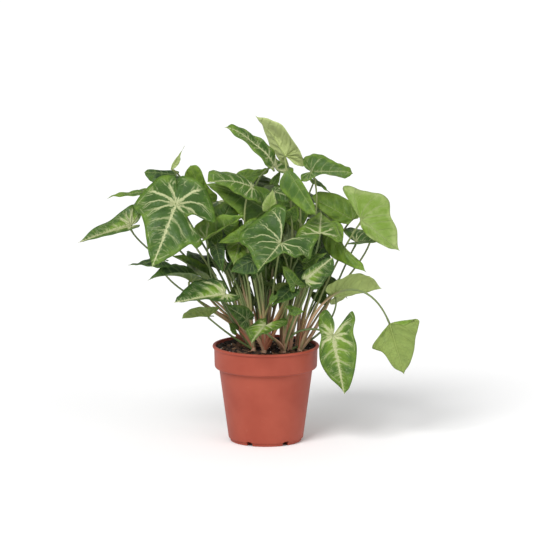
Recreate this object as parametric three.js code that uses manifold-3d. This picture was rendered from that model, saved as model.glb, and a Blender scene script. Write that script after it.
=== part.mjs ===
// Arrowhead plant (Syngonium podophyllum) in a 12 cm plastic nursery pot.
// Millimetres, +Z up, front towards -Y. The origin is the centre of the pot's underside.
import * as THREE from 'three';
import { mergeVertices } from 'three/addons/utils/BufferGeometryUtils.js';
import Module from 'manifold-3d';

const wasm = await Module();
wasm.setup();
const degrees = THREE.MathUtils.degToRad;
const vector = ([x, y, z]) => new THREE.Vector3(x, y, z);

// Driving dimensions of the pot.
const POT_HEIGHT = 109;
const LIP_RADIUS = 60;
const COLLAR_RADIUS = 58.2;
const SHOULDER_HEIGHT = 82;
const SHOULDER_RADIUS = 52.5;
const FOOT_RADIUS = 41.8;
const LIP_DEPTH = 2.7;
const STEP_RISE = 3.8;
const WALL = 1.7;
const WALL_DRAFT = 0.7;
const FLOOR = 1.8;
const POT_EDGE = 0.6;
const CHANNEL_HEIGHT = 2.6;
const CHANNEL_INNER_RADIUS = 28;
const CHANNEL_OUTER_RADIUS = 36.8;
const POT_SIDES = 36;
const DRAIN_COUNT = 6;
const DRAIN_WIDTH = 7;
const DRAIN_HEIGHT = 5.2;
const DRAIN_DEPTH = 12;
const DRAIN_OVERCUT = 1;
const DRAIN_ANGLE = -27;

// Driving dimensions of the soil, the crowns and the leaves.
const SOIL_CLEARANCE = 0.4;
const SOIL_HEIGHT = 103;
const SOIL_EDGE_WIDTH = 6;
const SOIL_EDGE_RISE = 3.6;
const CROWN_RADIUS = 3.3;
const CROWN_BOTTOM = 84;
const CROWN_TOP = 106;
const CROWN_SIDES = 8;
const BLADE_THICKNESS = 0.7;
const MARGIN_DROOP = degrees(30);
const WAVE_STEP = 1.9;
const LOBE_SHARE = 0.35;
const LARGE_BLADE = 75;
const SMALL_BLADE = 60;
const PETIOLE_BASE_RADIUS = 2;
const PETIOLE_RADIUS = 1.3;
const PETIOLE_TIP_RADIUS = 0.95;
const PETIOLE_SIDES = 5;
const PETIOLE_STEPS = 6;
const ARCH_STEPS = 7;
const PETIOLE_END_GAP = 0.35;
const PETIOLE_FOOT_SHARE = 0.2;
const SMALL_LEAF_SINK = 0.2;

// A petiole leaves the crown leaning and rising by these shares of its reach, and nears the
// notch this share of its reach away, from a way between its own and the blade's outward one.
const START_LEAN = 0.18;
const START_RISE = 0.45;
const LEAST_RISE = 9;
const END_REACH = 0.3;
const END_WAY_SHARE = 0.5;
const END_OUT_SHARE = 0.9;

// How petioles are led round each other: the room kept, the spacing of the points tested, what
// that spacing can hide, the length of a petiole's end that may near its own blade, and the
// sideways bends tried, which grow by BEND_STEP up to BEND_LIMIT in BEND_TURNS directions.
const ROUTE_CLEARANCE = 0.6;
const SAMPLE_SPACING = 2;
const SAMPLE_ROOM = 0.4;
const END_LENGTH = 4;
const BEND_STEP = 5;
const BEND_LIMIT = 60;
const BEND_TURNS = 12;

const potFinish = new THREE.MeshStandardMaterial({ color: 0xb85c4b, roughness: 0.5 });
const soilFinish = new THREE.MeshStandardMaterial({ color: 0x2e211a, roughness: 1 });
const stemFinish = new THREE.MeshStandardMaterial({ color: 0x84764e, roughness: 0.6 });
const leafFinishes = {
  veined: new THREE.MeshStandardMaterial({ color: 0x3f6b35, roughness: 0.5 }),
  bright: new THREE.MeshStandardMaterial({ color: 0x64913c, roughness: 0.5 }),
  pale: new THREE.MeshStandardMaterial({ color: 0x8fae62, roughness: 0.55 }),
  dark: new THREE.MeshStandardMaterial({ color: 0x2c4a29, roughness: 0.5 }),
};

// Where each plantlet's crown stands in the soil.
const CROWNS = {
  a: [-24, 13],
  b: [-14, -3],
  c: [-2, -12],
  d: [2, 8],
  e: [20, -16],
  f: [27, -4],
  g: [38, -8],
  h: [18, 20],
  i: [-6, 28],
  j: [35, 12],
};

// Each leaf: its name, its plantlet, the notch where the petiole joins, the tip, and roughly
// where the upper face looks. wide and lobe are the half-width and the back lobes in midrib
// lengths, and a leaf with a shape of its own has leftEdge or rightEdge instead, from tip to
// notch. In degrees, left and right fold the halves up, bow bends the midrib down to the tip
// and hang bends the back lobes down. wave lifts the margin, in midrib lengths. via gives the
// petiole's two inner guide points. A leaf with small is fused to its petiole.
const LEAVES = [
  ['leaf_01', 'a', [-100, -35, 274], [-126, -78, 210], [0.05, -0.8, 0.6],
    { bow: 15, hang: -5, finish: 'veined',
      leftEdge: [[0.83, 0.14], [0.65, 0.28], [0.49, 0.38], [0.5, 0.49], [0.37, 0.53],
        [0.22, 0.32], [0.12, 0.2], [0.02, 0.28], [-0.01, 0.61], [-0.2, 0.5], [-0.39, 0.32],
        [-0.47, 0.02], [-0.41, -0.13]],
      rightEdge: [[0.79, 0.12], [0.56, 0.24], [0.37, 0.34], [0.23, 0.46], [0.09, 0.6],
        [-0.05, 0.55], [-0.2, 0.47], [-0.37, 0.38], [-0.44, 0.18]] }],
  ['leaf_02', 'a', [-70, 5, 276], [-84, 0, 313], [-0.2, -0.9, 0.3],
    { bow: 20, finish: 'bright',
      leftEdge: [[0.94, 0.1], [0.82, 0.24], [0.54, 0.36], [0.17, 0.45], [-0.14, 0.38],
        [-0.24, 0.18], [-0.1, 0.05]],
      rightEdge: [[0.94, 0.16], [0.73, 0.23], [0.46, 0.22], [0.2, 0.26], [-0.1, 0.38],
        [-0.27, 0.28], [-0.16, 0.07]] }],
  ['leaf_03', 'a', [-101, 8, 301], [-136, -2, 305], [0, -0.8, 0.6],
    { bow: 15, finish: 'dark',
      leftEdge: [[0.93, 0.12], [0.8, 0.26], [0.6, 0.36], [0.3, 0.42], [0, 0.42], [-0.2, 0.35],
        [-0.2, 0.12]],
      rightEdge: [[0.9, 0.08], [0.2, 0.14], [-0.12, 0.12], [-0.1, 0.04]] }],
  ['new_leaf', 'a', [-105, -14, 311], [-90, -18, 338], [0, -1, 0.3],
    { left: 20, right: 20, small: true,
      leftEdge: [[0.6, 0.02], [0.45, 0.05], [0.22, 0.07], [0.05, 0.04]],
      rightEdge: [[0.62, 0.04], [0.48, 0.12], [0.3, 0.14], [0.12, 0.1], [0.02, 0.04]] }],
  ['leaf_04', 'a', [-134, 8, 281], [-177, -2, 274], [0.1, -0.3, 0.95],
    { wide: 0.2, lobe: 0.2, bow: 30, finish: 'pale' }],
  ['leaf_05', 'b', [-151, -10, 246], [-210, -22, 229], [-0.2, -0.9, 0.35],
    { left: 65, bow: 15, finish: 'veined',
      leftEdge: [[0.85, 0.05], [0.6, 0.14], [0.35, 0.2], [0.1, 0.24], [-0.1, 0.2], [-0.15, 0.05]],
      rightEdge: [[0.68, 0.13], [0.26, 0.24], [0.01, 0.34], [-0.22, 0.38], [-0.28, 0.22],
        [-0.17, 0.05]] }],
  ['leaf_06', 'b', [-118, -12, 206], [-154, -18, 202], [0, -0.2, 1],
    { wide: 0.36, lobe: 0.3, bow: 20, finish: 'dark' }],
  ['leaf_07', 'b', [-84, -8, 184], [-132, -24, 187], [0, -0.55, 0.83],
    { wide: 0.44, lobe: 0.22, left: 70, right: 12, bow: 65, finish: 'dark' }],
  ['leaf_08', 'b', [-67, 14, 180], [-108, 12, 213], [0.3, -0.3, 0.9],
    { wide: 0.3, lobe: 0.15, left: 62, right: 62, finish: 'bright' }],
  ['leaf_09', 'a', [-69, 36, 194], [-90, 62, 204], [-0.3, 0.1, 0.95],
    { wide: 0.55, lobe: 0.4, bow: 25, finish: 'dark' }],
  ['leaf_10', 'c', [-46, -40, 174], [-102, -52, 166], [0.05, -0.72, 0.68],
    { left: 38, bow: 15, finish: 'veined',
      leftEdge: [[0.85, 0.03], [0.58, 0.1], [0.3, 0.2], [0.04, 0.3], [-0.21, 0.24], [-0.28, 0.1],
        [-0.18, 0.01]],
      rightEdge: [[0.9, 0.12], [0.73, 0.28], [0.51, 0.43], [0.34, 0.48], [0.17, 0.46],
        [0.02, 0.38], [-0.08, 0.26], [-0.06, 0.09]] }],
  ['leaf_11', 'b', [-50, 4, 248], [-34, 14, 275], [-0.1, -0.95, 0.3],
    { wide: 0.62, lobe: 0.3, bow: 20, wave: 0.04, finish: 'bright' }],
  ['leaf_12', 'b', [-66, -12, 232], [-22, -24, 263], [-0.5, -0.2, 0.8],
    { wide: 0.38, lobe: 0.2, left: 80, right: 30, finish: 'bright' }],
  ['leaf_13', 'b', [-64, -20, 145], [-94, -26, 144], [-0.1, 0.75, 0.65],
    { left: 15, right: 62, bow: 10, finish: 'pale',
      via: [[-31, -9, 114], [-50, -15, 130]],
      leftEdge: [[0.9, 0.28], [0.65, 0.44], [0.28, 0.58], [-0.09, 0.64], [-0.38, 0.46],
        [-0.14, 0.14]],
      rightEdge: [[0.7, 0.14], [0.4, 0.2], [0.1, 0.2], [-0.2, 0.16], [-0.2, 0.05]] }],
  ['leaf_14', 'c', [-22, -26, 143], [-46, -38, 163], [0.2, -0.85, 0.5],
    { wide: 0.36, lobe: 0.3, bow: 25, left: 15, right: 15, finish: 'veined' }],
  ['small_leaf_01', 'a', [-34, -18, 130], [-42, -23, 138], [0.2, -0.85, 0.5],
    { wide: 0.5, lobe: 0.4, small: true }],
  ['leaf_15', 'e', [-1, -50, 140], [-16, -84, 127], [-0.1, -0.5, 0.85],
    { wide: 0.56, lobe: 0.74, left: 25, bow: 30, finish: 'veined' }],
  ['leaf_16', 'd', [16, -60, 235], [-9, -80, 206], [-0.1, -0.85, 0.5],
    { left: 8, right: 20, bow: 15, hang: -5, finish: 'veined',
      leftEdge: [[0.74, 0.03], [0.5, 0.14], [0.2, 0.22], [0.08, 0.54], [-0.14, 0.64],
        [-0.2, 0.82], [-0.46, 0.73], [-0.8, 0.66], [-0.52, 0.29]],
      rightEdge: [[0.78, 0.31], [0.63, 0.53], [0.56, 0.8], [0.44, 1.01], [0.2, 1.11],
        [-0.25, 0.97], [-0.62, 0.86], [-0.83, 0.78], [-0.91, 0.48], [-0.7, 0.33]] }],
  ['leaf_17', 'd', [4, -26, 269], [8, -28, 291], [0, -1, 0.1],
    { wide: 0.38, lobe: 0.2, left: 20, right: 20, finish: 'bright' }],
  ['leaf_18', 'i', [0, 10, 261], [-68, 0, 292], [0.2, -0.75, 0.6],
    { wide: 0.36, lobe: 0.3, bow: 30, finish: 'bright' }],
  ['leaf_19', 'c', [-16, -14, 291], [-65, -28, 300], [-0.05, -0.55, 0.83],
    { wide: 0.36, lobe: 0.35, hang: 55, bow: 35, finish: 'veined',
      rightEdge: [[0.95, 0.22], [0.87, 0.34], [0.67, 0.4], [0.34, 0.36], [0.1, 0.3],
        [-0.15, 0.16], [-0.1, 0.05]] }],
  ['leaf_20', 'i', [-24, 36, 293], [4, 32, 304], [0.1, -0.6, 0.8],
    { wide: 0.42, lobe: 0.35, wave: 0.1, bow: -15, finish: 'bright' }],
  ['leaf_21', 'd', [9, 10, 310], [-46, 0, 353], [0.4, -0.6, 0.7],
    { bow: 75, hang: -75, finish: 'veined',
      leftEdge: [[0.8, 0.1], [0.5, 0.15], [0.2, 0.15], [0, 0.1], [-0.06, 0.04]],
      rightEdge: [[0.9, 0.1], [0.7, 0.17], [0.45, 0.19], [0.2, 0.18], [-0.05, 0.22],
        [-0.28, 0.26], [-0.34, 0.14], [-0.14, 0.03]] }],
  ['leaf_22', 'd', [22, 32, 318], [-11, 24, 366], [0.4, 0.9, 0.35],
    { wide: 0.34, lobe: 0.25, right: 42, bow: 10, finish: 'pale',
      leftEdge: [[0.83, 0.26], [0.54, 0.41], [-0.02, 0.43], [-0.24, 0.37], [-0.33, 0.2],
        [-0.15, 0.07]] }],
  ['leaf_23', 'f', [51, 4, 305], [97, -2, 303], [0, -0.75, 0.65],
    { left: 20, bow: 35, finish: 'veined',
      leftEdge: [[0.9, 0.15], [0.72, 0.19], [0.55, 0.24], [0.34, 0.37], [0.12, 0.46],
        [-0.08, 0.46], [-0.22, 0.36], [-0.18, 0.14]],
      rightEdge: [[0.92, 0.1], [0.82, 0.16], [0.57, 0.1], [0.21, 0.08], [-0.04, 0.24],
        [-0.22, 0.24], [-0.26, 0.06]] }],
  ['small_leaf_02', 'f', [54, 20, 293], [73, 12, 280], [0.3, -0.3, 0.9],
    { wide: 0.26, lobe: 0.2, small: true }],
  ['leaf_24', 'd', [24, -26, 312], [56, -42, 264], [-0.2, -0.9, 0.4],
    { bow: 20, finish: 'bright',
      leftEdge: [[0.85, 0.06], [0.5, 0.11], [0.2, 0.1], [0.05, 0.05]],
      rightEdge: [[0.9, 0.12], [0.67, 0.2], [0.37, 0.28], [0.19, 0.29], [0.05, 0.16]] }],
  ['leaf_25', 'd', [10, -10, 284], [37, -24, 276], [0.1, -0.6, 0.8],
    { wide: 0.42, lobe: 0.3, bow: 35, finish: 'veined' }],
  ['leaf_26', 'g', [106, -30, 256], [149, -50, 225], [-0.1, -0.95, 0.3],
    { right: -16, bow: 15, finish: 'pale',
      via: [[54, -10, 155], [89, 8, 226]],
      rightEdge: [[0.8, 0.1], [0.5, 0.16], [0.25, 0.17], [0.04, 0.08]],
      leftEdge: [[0.67, 0.3], [0.4, 0.44], [0.13, 0.69], [-0.06, 0.72], [-0.3, 0.58],
        [-0.47, 0.48], [-0.7, 0.38], [-0.73, 0.28], [-0.52, 0.18], [-0.2, 0.07]] }],
  ['leaf_27', 'g', [97, 14, 249], [51, 20, 273], [0.1, -0.9, 0.4],
    { bow: 10, finish: 'bright',
      leftEdge: [[0.8, 0.12], [0.5, 0.2], [0.25, 0.2], [0.02, 0.12]],
      rightEdge: [[0.97, 0.1], [0.9, 0.22], [0.52, 0.36], [0.25, 0.34], [0, 0.25],
        [-0.1, 0.1]] }],
  ['leaf_28', 'g', [101, 4, 225], [138, 0, 227], [0, -0.8, 0.6],
    { right: 70, bow: 20, finish: 'veined',
      via: [[66, -4, 134], [84, 6, 195]],
      leftEdge: [[0.8, 0.14], [0.5, 0.3], [0.2, 0.46], [-0.1, 0.62], [-0.32, 0.68], [-0.42, 0.5],
        [-0.2, 0.16]],
      rightEdge: [[0.8, 0.2], [0.5, 0.4], [0.15, 0.46], [-0.2, 0.36], [-0.2, 0.12]] }],
  ['small_leaf_03', 'g', [118, 20, 242], [143, 20, 248], [0, -0.6, 0.8],
    { wide: 0.36, lobe: 0.3, bow: 15, small: true }],
  ['leaf_29', 'f', [60, -42, 243], [62, 0, 258], [0, -0.4, 0.9],
    { wide: 0.64, lobe: 0.06, right: -8, bow: 25, finish: 'veined' }],
  ['leaf_30', 'f', [71, -14, 238], [111, -35, 198], [-0.3, -0.9, 0.2],
    { bow: -20, finish: 'dark',
      leftEdge: [[0.81, 0.06], [0.62, 0.03], [0.44, 0.03], [0.3, 0.06], [0.18, 0.2], [0.02, 0.28],
        [-0.13, 0.2]],
      rightEdge: [[0.8, 0.1], [0.58, 0.19], [0.36, 0.28], [0.14, 0.26], [-0.06, 0.12]] }],
  ['leaf_31', 'f', [77, -20, 167], [130, -10, 174], [0, 0.95, 0.3],
    { left: 45, bow: 20, finish: 'pale',
      via: [[60, -7, 115], [76, -31, 152]],
      leftEdge: [[0.73, 0.06], [0.45, 0.08], [0.25, 0.14], [0.15, 0.3], [0.02, 0.34],
        [-0.08, 0.2]],
      rightEdge: [[0.83, 0.31], [0.72, 0.39], [0.55, 0.47], [0.31, 0.51], [0.06, 0.46],
        [-0.09, 0.36], [-0.2, 0.22]] }],
  ['small_leaf_04', 'j', [58, 10, 166], [69, 3, 152], [-0.3, -0.9, 0.3],
    { wide: 0.5, lobe: 0.3, small: true }],
  ['leaf_32', 'e', [44, -50, 193], [75, -62, 220], [-0.1, -0.9, 0.2],
    { bow: 15, finish: 'veined',
      leftEdge: [[0.85, 0.08], [0.5, 0.15], [0.25, 0.18], [0, 0.15], [-0.1, 0.07]],
      rightEdge: [[0.92, 0.14], [0.74, 0.3], [0.45, 0.33], [0.3, 0.39], [0.13, 0.42],
        [-0.05, 0.3], [-0.07, 0.1]] }],
  ['small_leaf_05', 'e', [46, -34, 209], [68, -44, 222], [-0.2, -0.6, 0.75],
    { wide: 0.32, lobe: 0.25, small: true }],
  ['leaf_33', 'c', [32, -42, 187], [18, -48, 208], [0.1, -0.95, 0.2],
    { finish: 'bright',
      leftEdge: [[0.8, 0.1], [0.45, 0.2], [0.1, 0.24], [-0.2, 0.33], [-0.34, 0.24],
        [-0.15, 0.06]],
      rightEdge: [[0.85, 0.12], [0.5, 0.24], [0.1, 0.26], [-0.15, 0.3], [-0.42, 0.34],
        [-0.4, 0.18], [-0.14, 0.04]] }],
  ['leaf_34', 'c', [25, -11, 175], [5, -15, 179], [0, 0.9, 0.45],
    { wide: 0.55, lobe: 0.4, finish: 'pale' }],
  ['leaf_35', 'c', [27, -34, 178], [6, -51, 161], [-0.3, -0.8, 0.5],
    { wide: 0.34, lobe: 0.25, bow: 20, finish: 'dark' }],
  ['small_leaf_06', 'c', [9, -50, 174], [4, -54, 164], [-0.3, -0.9, 0.3],
    { wide: 0.36, lobe: 0.2, small: true }],
  ['small_leaf_07', 'e', [31, -45, 156], [43, -49, 156], [0, -0.8, 0.6],
    { wide: 0.45, lobe: 0.3, small: true }],
  ['small_leaf_08', 'e', [30, -38, 157], [22, -42, 161], [0, -0.8, 0.6],
    { wide: 0.45, lobe: 0.3, small: true }],
  ['leaf_36', 'e', [75, -30, 125], [88, -38, 60], [-0.1, -1, 0.05],
    { bow: 12, finish: 'veined',
      via: [[22, -16, 132], [59, -14, 136]],
      leftEdge: [[0.91, 0.1], [0.61, 0.26], [0.23, 0.36], [-0.01, 0.35], [-0.21, 0.42],
        [-0.35, 0.39], [-0.29, 0.3], [-0.15, 0.15]],
      rightEdge: [[0.69, 0.19], [0.43, 0.29], [0.19, 0.28], [-0.03, 0.2], [-0.24, 0.21],
        [-0.4, 0.14], [-0.45, 0.03], [-0.33, -0.04], [-0.16, -0.06]] }],
  ['leaf_37', 'g', [138.5, -10, 135], [155, -16, 78], [-0.1, 0.95, 0.1],
    { left: 15, right: 15, bow: 20, finish: 'pale',
      via: [[48, -20, 185], [108, -36, 204]],
      leftEdge: [[0.83, 0.15], [0.5, 0.27], [0.42, 0.37], [0.36, 0.44], [0.26, 0.36], [0.2, 0.24],
        [0.12, 0.12]],
      rightEdge: [[0.83, 0.17], [0.6, 0.32], [0.42, 0.39], [0.25, 0.48], [0.1, 0.55],
        [0.05, 0.47], [0.11, 0.32], [0.09, 0.14]] }],
  ['leaf_38', 'b', [-30, -4, 225], [-36, -22, 203], [-0.1, -0.9, 0.4],
    { wide: 0.5, lobe: 0.25, bow: 20, finish: 'bright' }],
  ['leaf_39', 'c', [-20, -24, 236], [-54, -22, 229], [0, -0.85, 0.5],
    { right: 18, bow: 20, finish: 'bright',
      leftEdge: [[0.7, 0.08], [0, 0.12], [-0.2, 0.06]],
      rightEdge: [[0.8, 0.1], [0.5, 0.2], [0.2, 0.36], [-0.05, 0.52], [-0.32, 0.62],
        [-0.46, 0.45], [-0.2, 0.14]] }],
  ['leaf_40', 'c', [-14, -46, 213], [-40, -42, 199], [0, -0.7, 0.7],
    { wide: 0.5, lobe: 0.35, bow: 25, finish: 'dark' }],
  ['leaf_41', 'b', [-55, -14, 222], [-48, -24, 194], [-0.3, -0.8, 0.3],
    { wide: 0.28, lobe: 0.3, finish: 'dark' }],
  ['small_leaf_09', 'h', [9, 24, 289], [17, 26, 303], [0, -0.9, 0.3],
    { wide: 0.3, lobe: 0.2, small: true }],
  ['small_leaf_10', 'e', [29, -20, 259], [36, -26, 274], [-0.4, -0.8, 0.2],
    { wide: 0.45, lobe: 0.3, left: 45, small: true }],
  ['small_leaf_11', 'h', [10, 14, 206], [-2, 4, 178], [-0.1, -0.8, 0.5],
    { wide: 0.5, lobe: 0.4, bow: 20, small: true }],
  ['small_leaf_12', 'd', [31, 10, 212], [37, -3, 184], [0.2, -0.8, 0.5],
    { wide: 0.5, lobe: 0.4, bow: 20, small: true }],
  ['small_leaf_13', 'f', [32, 12, 262], [37, 2, 234], [0, -0.9, 0.4],
    { wide: 0.55, lobe: 0.4, bow: 20, small: true }],
  ['small_leaf_14', 'b', [-58, 0, 235], [-65, -8, 218], [0, -0.9, 0.4],
    { wide: 0.5, lobe: 0.4, bow: 15, small: true }],
  ['leaf_42', 'i', [-55, 55, 262], [-95, 100, 235], [-0.4, 0.5, 0.8],
    { wide: 0.46, lobe: 0.4, bow: 35, finish: 'veined' }],
  ['leaf_43', 'i', [-20, 72, 284], [-34, 128, 244], [-0.1, 0.6, 0.8],
    { wide: 0.44, lobe: 0.4, bow: 35, finish: 'veined' }],
  ['leaf_44', 'h', [24, 78, 272], [32, 136, 228], [0.1, 0.6, 0.8],
    { wide: 0.48, lobe: 0.45, bow: 35, finish: 'bright' }],
  ['leaf_45', 'j', [62, 52, 256], [76, 102, 218], [0.3, 0.6, 0.7],
    { wide: 0.46, lobe: 0.4, bow: 30, finish: 'veined' }],
  ['leaf_46', 'i', [-42, 66, 220], [-50, 116, 192], [-0.3, 0.6, 0.7],
    { wide: 0.42, lobe: 0.35, bow: 30, finish: 'veined' }],
  ['leaf_47', 'h', [12, 84, 222], [15, 134, 184], [0, 0.6, 0.8],
    { wide: 0.44, lobe: 0.4, bow: 30, finish: 'bright' }],
  ['leaf_48', 'j', [48, 66, 206], [60, 108, 172], [0.3, 0.6, 0.7],
    { wide: 0.42, lobe: 0.35, bow: 30, finish: 'veined' }],
];

// One half of the usual outline, from the tip round the back lobe to the notch, in midrib
// lengths: the first number is along the midrib and the second is across it.
function usualEdge({ wide, lobe }) {
  return [
    [0.9, 0.09], [0.66, 0.44], [0.36, 0.82], [0.1, 1], [-0.4 * lobe, 0.93],
    [-0.82 * lobe, 0.8], [-lobe, 0.56], [-0.72 * lobe, 0.28], [-0.25 * lobe, 0.07],
  ].map(([x, y]) => [x, y * wide]);
}

// The outline's points from the right back lobe round the tip to the left one.
function outline(shape, coarse) {
  const usual = () => usualEdge(shape).filter((_, i) => !(coarse && (i === 4 || i === 7)));
  const right = (shape.rightEdge ?? usual()).map(([x, y]) => [x, -y]);
  return [...right.reverse(), [1, 0], ...(shape.leftEdge ?? usual())];
}

// The leaf's own axes: along the chord from notch to tip, to its left, and out of its upper face.
function leafAxes(base, tip, face) {
  const along = tip.clone().sub(base).normalize();
  const out = face.clone().addScaledVector(along, -face.dot(along)).normalize();
  return { along, out, left: out.clone().cross(along) };
}

// A function that places a point of the flat blade, given in midrib lengths, on the bent one.
function bladeSurface(base, tip, face, shape) {
  const axes = leafAxes(base, tip, face);
  const bow = degrees(shape.bow ?? 0.001);
  const arc = (x, bend) => (Math.abs(bend) < 1e-4
    ? [x, 0]
    : [Math.sin(bend * x) / bend, (Math.cos(bend * x) - 1) / bend]);
  const [tipAlong, tipOut] = arc(1, bow);
  const chord = Math.hypot(tipAlong, tipOut);
  const lean = Math.atan2(tipOut, tipAlong);
  const length = base.distanceTo(tip) / chord;
  const place = (x, y, lift) => {
    const bend = x < 0 ? degrees(shape.hang ?? 0) / LOBE_SHARE : bow;
    const [alongRib, outRib] = arc(x, bend);
    const slope = bend * x;
    const fold = degrees((y > 0 ? shape.left : shape.right) ?? 0);
    const rise = fold - MARGIN_DROOP * Math.abs(y);
    const across = y * Math.cos(rise);
    const above = Math.abs(y) * Math.sin(rise) + lift;
    const px = alongRib + above * Math.sin(slope);
    const pz = outRib + above * Math.cos(slope);
    const u = px * Math.cos(lean) + pz * Math.sin(lean);
    const w = pz * Math.cos(lean) - px * Math.sin(lean);
    return base.clone()
      .addScaledVector(axes.along, u * length)
      .addScaledVector(axes.left, across * length)
      .addScaledVector(axes.out, w * length);
  };
  const notchOut = axes.out.clone().multiplyScalar(Math.cos(lean))
    .addScaledVector(axes.along, Math.sin(lean));
  const notchAlong = axes.along.clone().multiplyScalar(Math.cos(lean))
    .addScaledVector(axes.out, -Math.sin(lean));
  return { place, length, notchOut, notchAlong };
}

// The blade is a fan of rays from the notch to the outline, the same on both faces.
function bladeGrid(surface, shape) {
  const rings = surface.length > LARGE_BLADE ? [0.34, 0.68, 1] : [0.5, 1];
  const coarse = surface.length < SMALL_BLADE;
  const rays = outline(shape, coarse);
  const middle = rays.findIndex(([x]) => x === 1);
  const grid = rays.map(([x, y], i) => rings.map((ring) => {
    const ripple = Math.sin((i - middle) * WAVE_STEP) * (shape.wave ?? 0) * ring * ring;
    return surface.place(x * ring, y * ring, i === middle ? 0 : ripple);
  }));
  return { notch: surface.place(0, 0, 0), grid };
}

function bladeMesh({ notch, grid }, thickness) {
  const rings = grid[0].length;
  const points = [notch, ...grid.flat()];
  const at = (ray, ring) => (ring === 0 ? 0 : 1 + ray * rings + ring - 1);
  const faces = [];
  for (let ray = 0; ray < grid.length - 1; ray += 1) {
    faces.push([0, at(ray, 1), at(ray + 1, 1)]);
    for (let ring = 1; ring < rings; ring += 1) {
      faces.push([at(ray, ring), at(ray, ring + 1), at(ray + 1, ring + 1)]);
      faces.push([at(ray, ring), at(ray + 1, ring + 1), at(ray + 1, ring)]);
    }
  }
  const normals = points.map(() => new THREE.Vector3());
  faces.forEach((face) => {
    const [a, b, c] = face.map((i) => points[i]);
    const normal = b.clone().sub(a).cross(c.clone().sub(a)).normalize();
    face.forEach((i) => normals[i].add(normal));
  });
  const rim = [];
  for (let ring = 0; ring < rings; ring += 1) rim.push(at(0, ring));
  for (let ray = 0; ray < grid.length; ray += 1) rim.push(at(ray, rings));
  for (let ring = rings - 1; ring > 0; ring -= 1) rim.push(at(grid.length - 1, ring));
  const count = points.length;
  const position = [];
  [0.5, -0.5].forEach((side) => points.forEach((point, i) => {
    const shift = normals[i].clone().normalize().multiplyScalar(side * thickness);
    position.push(...point.clone().add(shift).toArray());
  }));
  const index = faces.flatMap(([a, b, c]) => [a, b, c, c + count, b + count, a + count]);
  rim.forEach((a, i) => {
    const b = rim[(i + 1) % rim.length];
    if (a !== b) index.push(a + count, b + count, b, a + count, b, a);
  });
  const geometry = new THREE.BufferGeometry();
  geometry.setAttribute('position', new THREE.Float32BufferAttribute(position, 3));
  geometry.setIndex(index);
  return geometry;
}

function weld(geometry) {
  geometry.deleteAttribute('normal');
  geometry.deleteAttribute('uv');
  const merged = mergeVertices(geometry, 1e-3);
  const index = Array.from(merged.index.array);
  const kept = [];
  for (let i = 0; i < index.length; i += 3) {
    const [a, b, c] = index.slice(i, i + 3);
    if (a !== b && b !== c && c !== a) kept.push(a, b, c);
  }
  merged.setIndex(kept);
  return merged;
}

function solid(geometry) {
  const merged = weld(geometry);
  return new wasm.Manifold(new wasm.Mesh({
    numProp: 3,
    vertProperties: new Float32Array(merged.attributes.position.array),
    triVerts: new Uint32Array(merged.index.array),
  }));
}

function geometryOf(body) {
  const mesh = body.getMesh();
  const geometry = new THREE.BufferGeometry();
  geometry.setAttribute('position', new THREE.BufferAttribute(mesh.vertProperties, 3));
  geometry.setIndex(new THREE.BufferAttribute(mesh.triVerts, 1));
  return geometry;
}

// A solid of revolution round Z from its half-section, which starts and ends on the axis.
function revolve(profile) {
  const points = profile.map(([radius, height]) => new THREE.Vector2(radius, height));
  return new THREE.LatheGeometry(points, POT_SIDES).rotateX(Math.PI / 2);
}

const floorTop = CHANNEL_HEIGHT + FLOOR;
const collarBore = COLLAR_RADIUS - WALL - WALL_DRAFT;

function potBody() {
  const body = solid(revolve([
    [0, 0],
    [CHANNEL_INNER_RADIUS - POT_EDGE, 0],
    [CHANNEL_INNER_RADIUS, CHANNEL_HEIGHT],
    [CHANNEL_OUTER_RADIUS, CHANNEL_HEIGHT],
    [CHANNEL_OUTER_RADIUS + POT_EDGE, 0],
    [FOOT_RADIUS - POT_EDGE, 0],
    [FOOT_RADIUS, POT_EDGE],
    [SHOULDER_RADIUS, SHOULDER_HEIGHT],
    [COLLAR_RADIUS - 2 * POT_EDGE, SHOULDER_HEIGHT + STEP_RISE / 2],
    [COLLAR_RADIUS - POT_EDGE, SHOULDER_HEIGHT + STEP_RISE],
    [COLLAR_RADIUS, POT_HEIGHT - LIP_DEPTH - POT_EDGE],
    [LIP_RADIUS, POT_HEIGHT - LIP_DEPTH],
    [LIP_RADIUS - POT_EDGE, POT_HEIGHT],
    [COLLAR_RADIUS - WALL, POT_HEIGHT],
    [collarBore, SHOULDER_HEIGHT + STEP_RISE],
    [SHOULDER_RADIUS - WALL, SHOULDER_HEIGHT],
    [FOOT_RADIUS - WALL + POT_EDGE, floorTop],
    [CHANNEL_INNER_RADIUS - POT_EDGE, floorTop],
    [CHANNEL_INNER_RADIUS - WALL, FLOOR],
    [0, FLOOR],
  ]));
  return Array.from({ length: DRAIN_COUNT }).reduce((pot, _, i) => {
    const angle = degrees(DRAIN_ANGLE - 90 + (i * 360) / DRAIN_COUNT);
    const cut = new THREE.BoxGeometry(DRAIN_DEPTH, DRAIN_WIDTH, DRAIN_HEIGHT + DRAIN_OVERCUT)
      .translate(FOOT_RADIUS, 0, (DRAIN_HEIGHT - DRAIN_OVERCUT) / 2)
      .rotateZ(angle);
    return pot.subtract(solid(cut));
  }, body);
}

function crownGeometry([x, y], radius, bottom, top) {
  return new THREE.CylinderGeometry(radius, radius, top - bottom, CROWN_SIDES)
    .rotateX(Math.PI / 2)
    .translate(x, y, (top + bottom) / 2);
}

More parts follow.
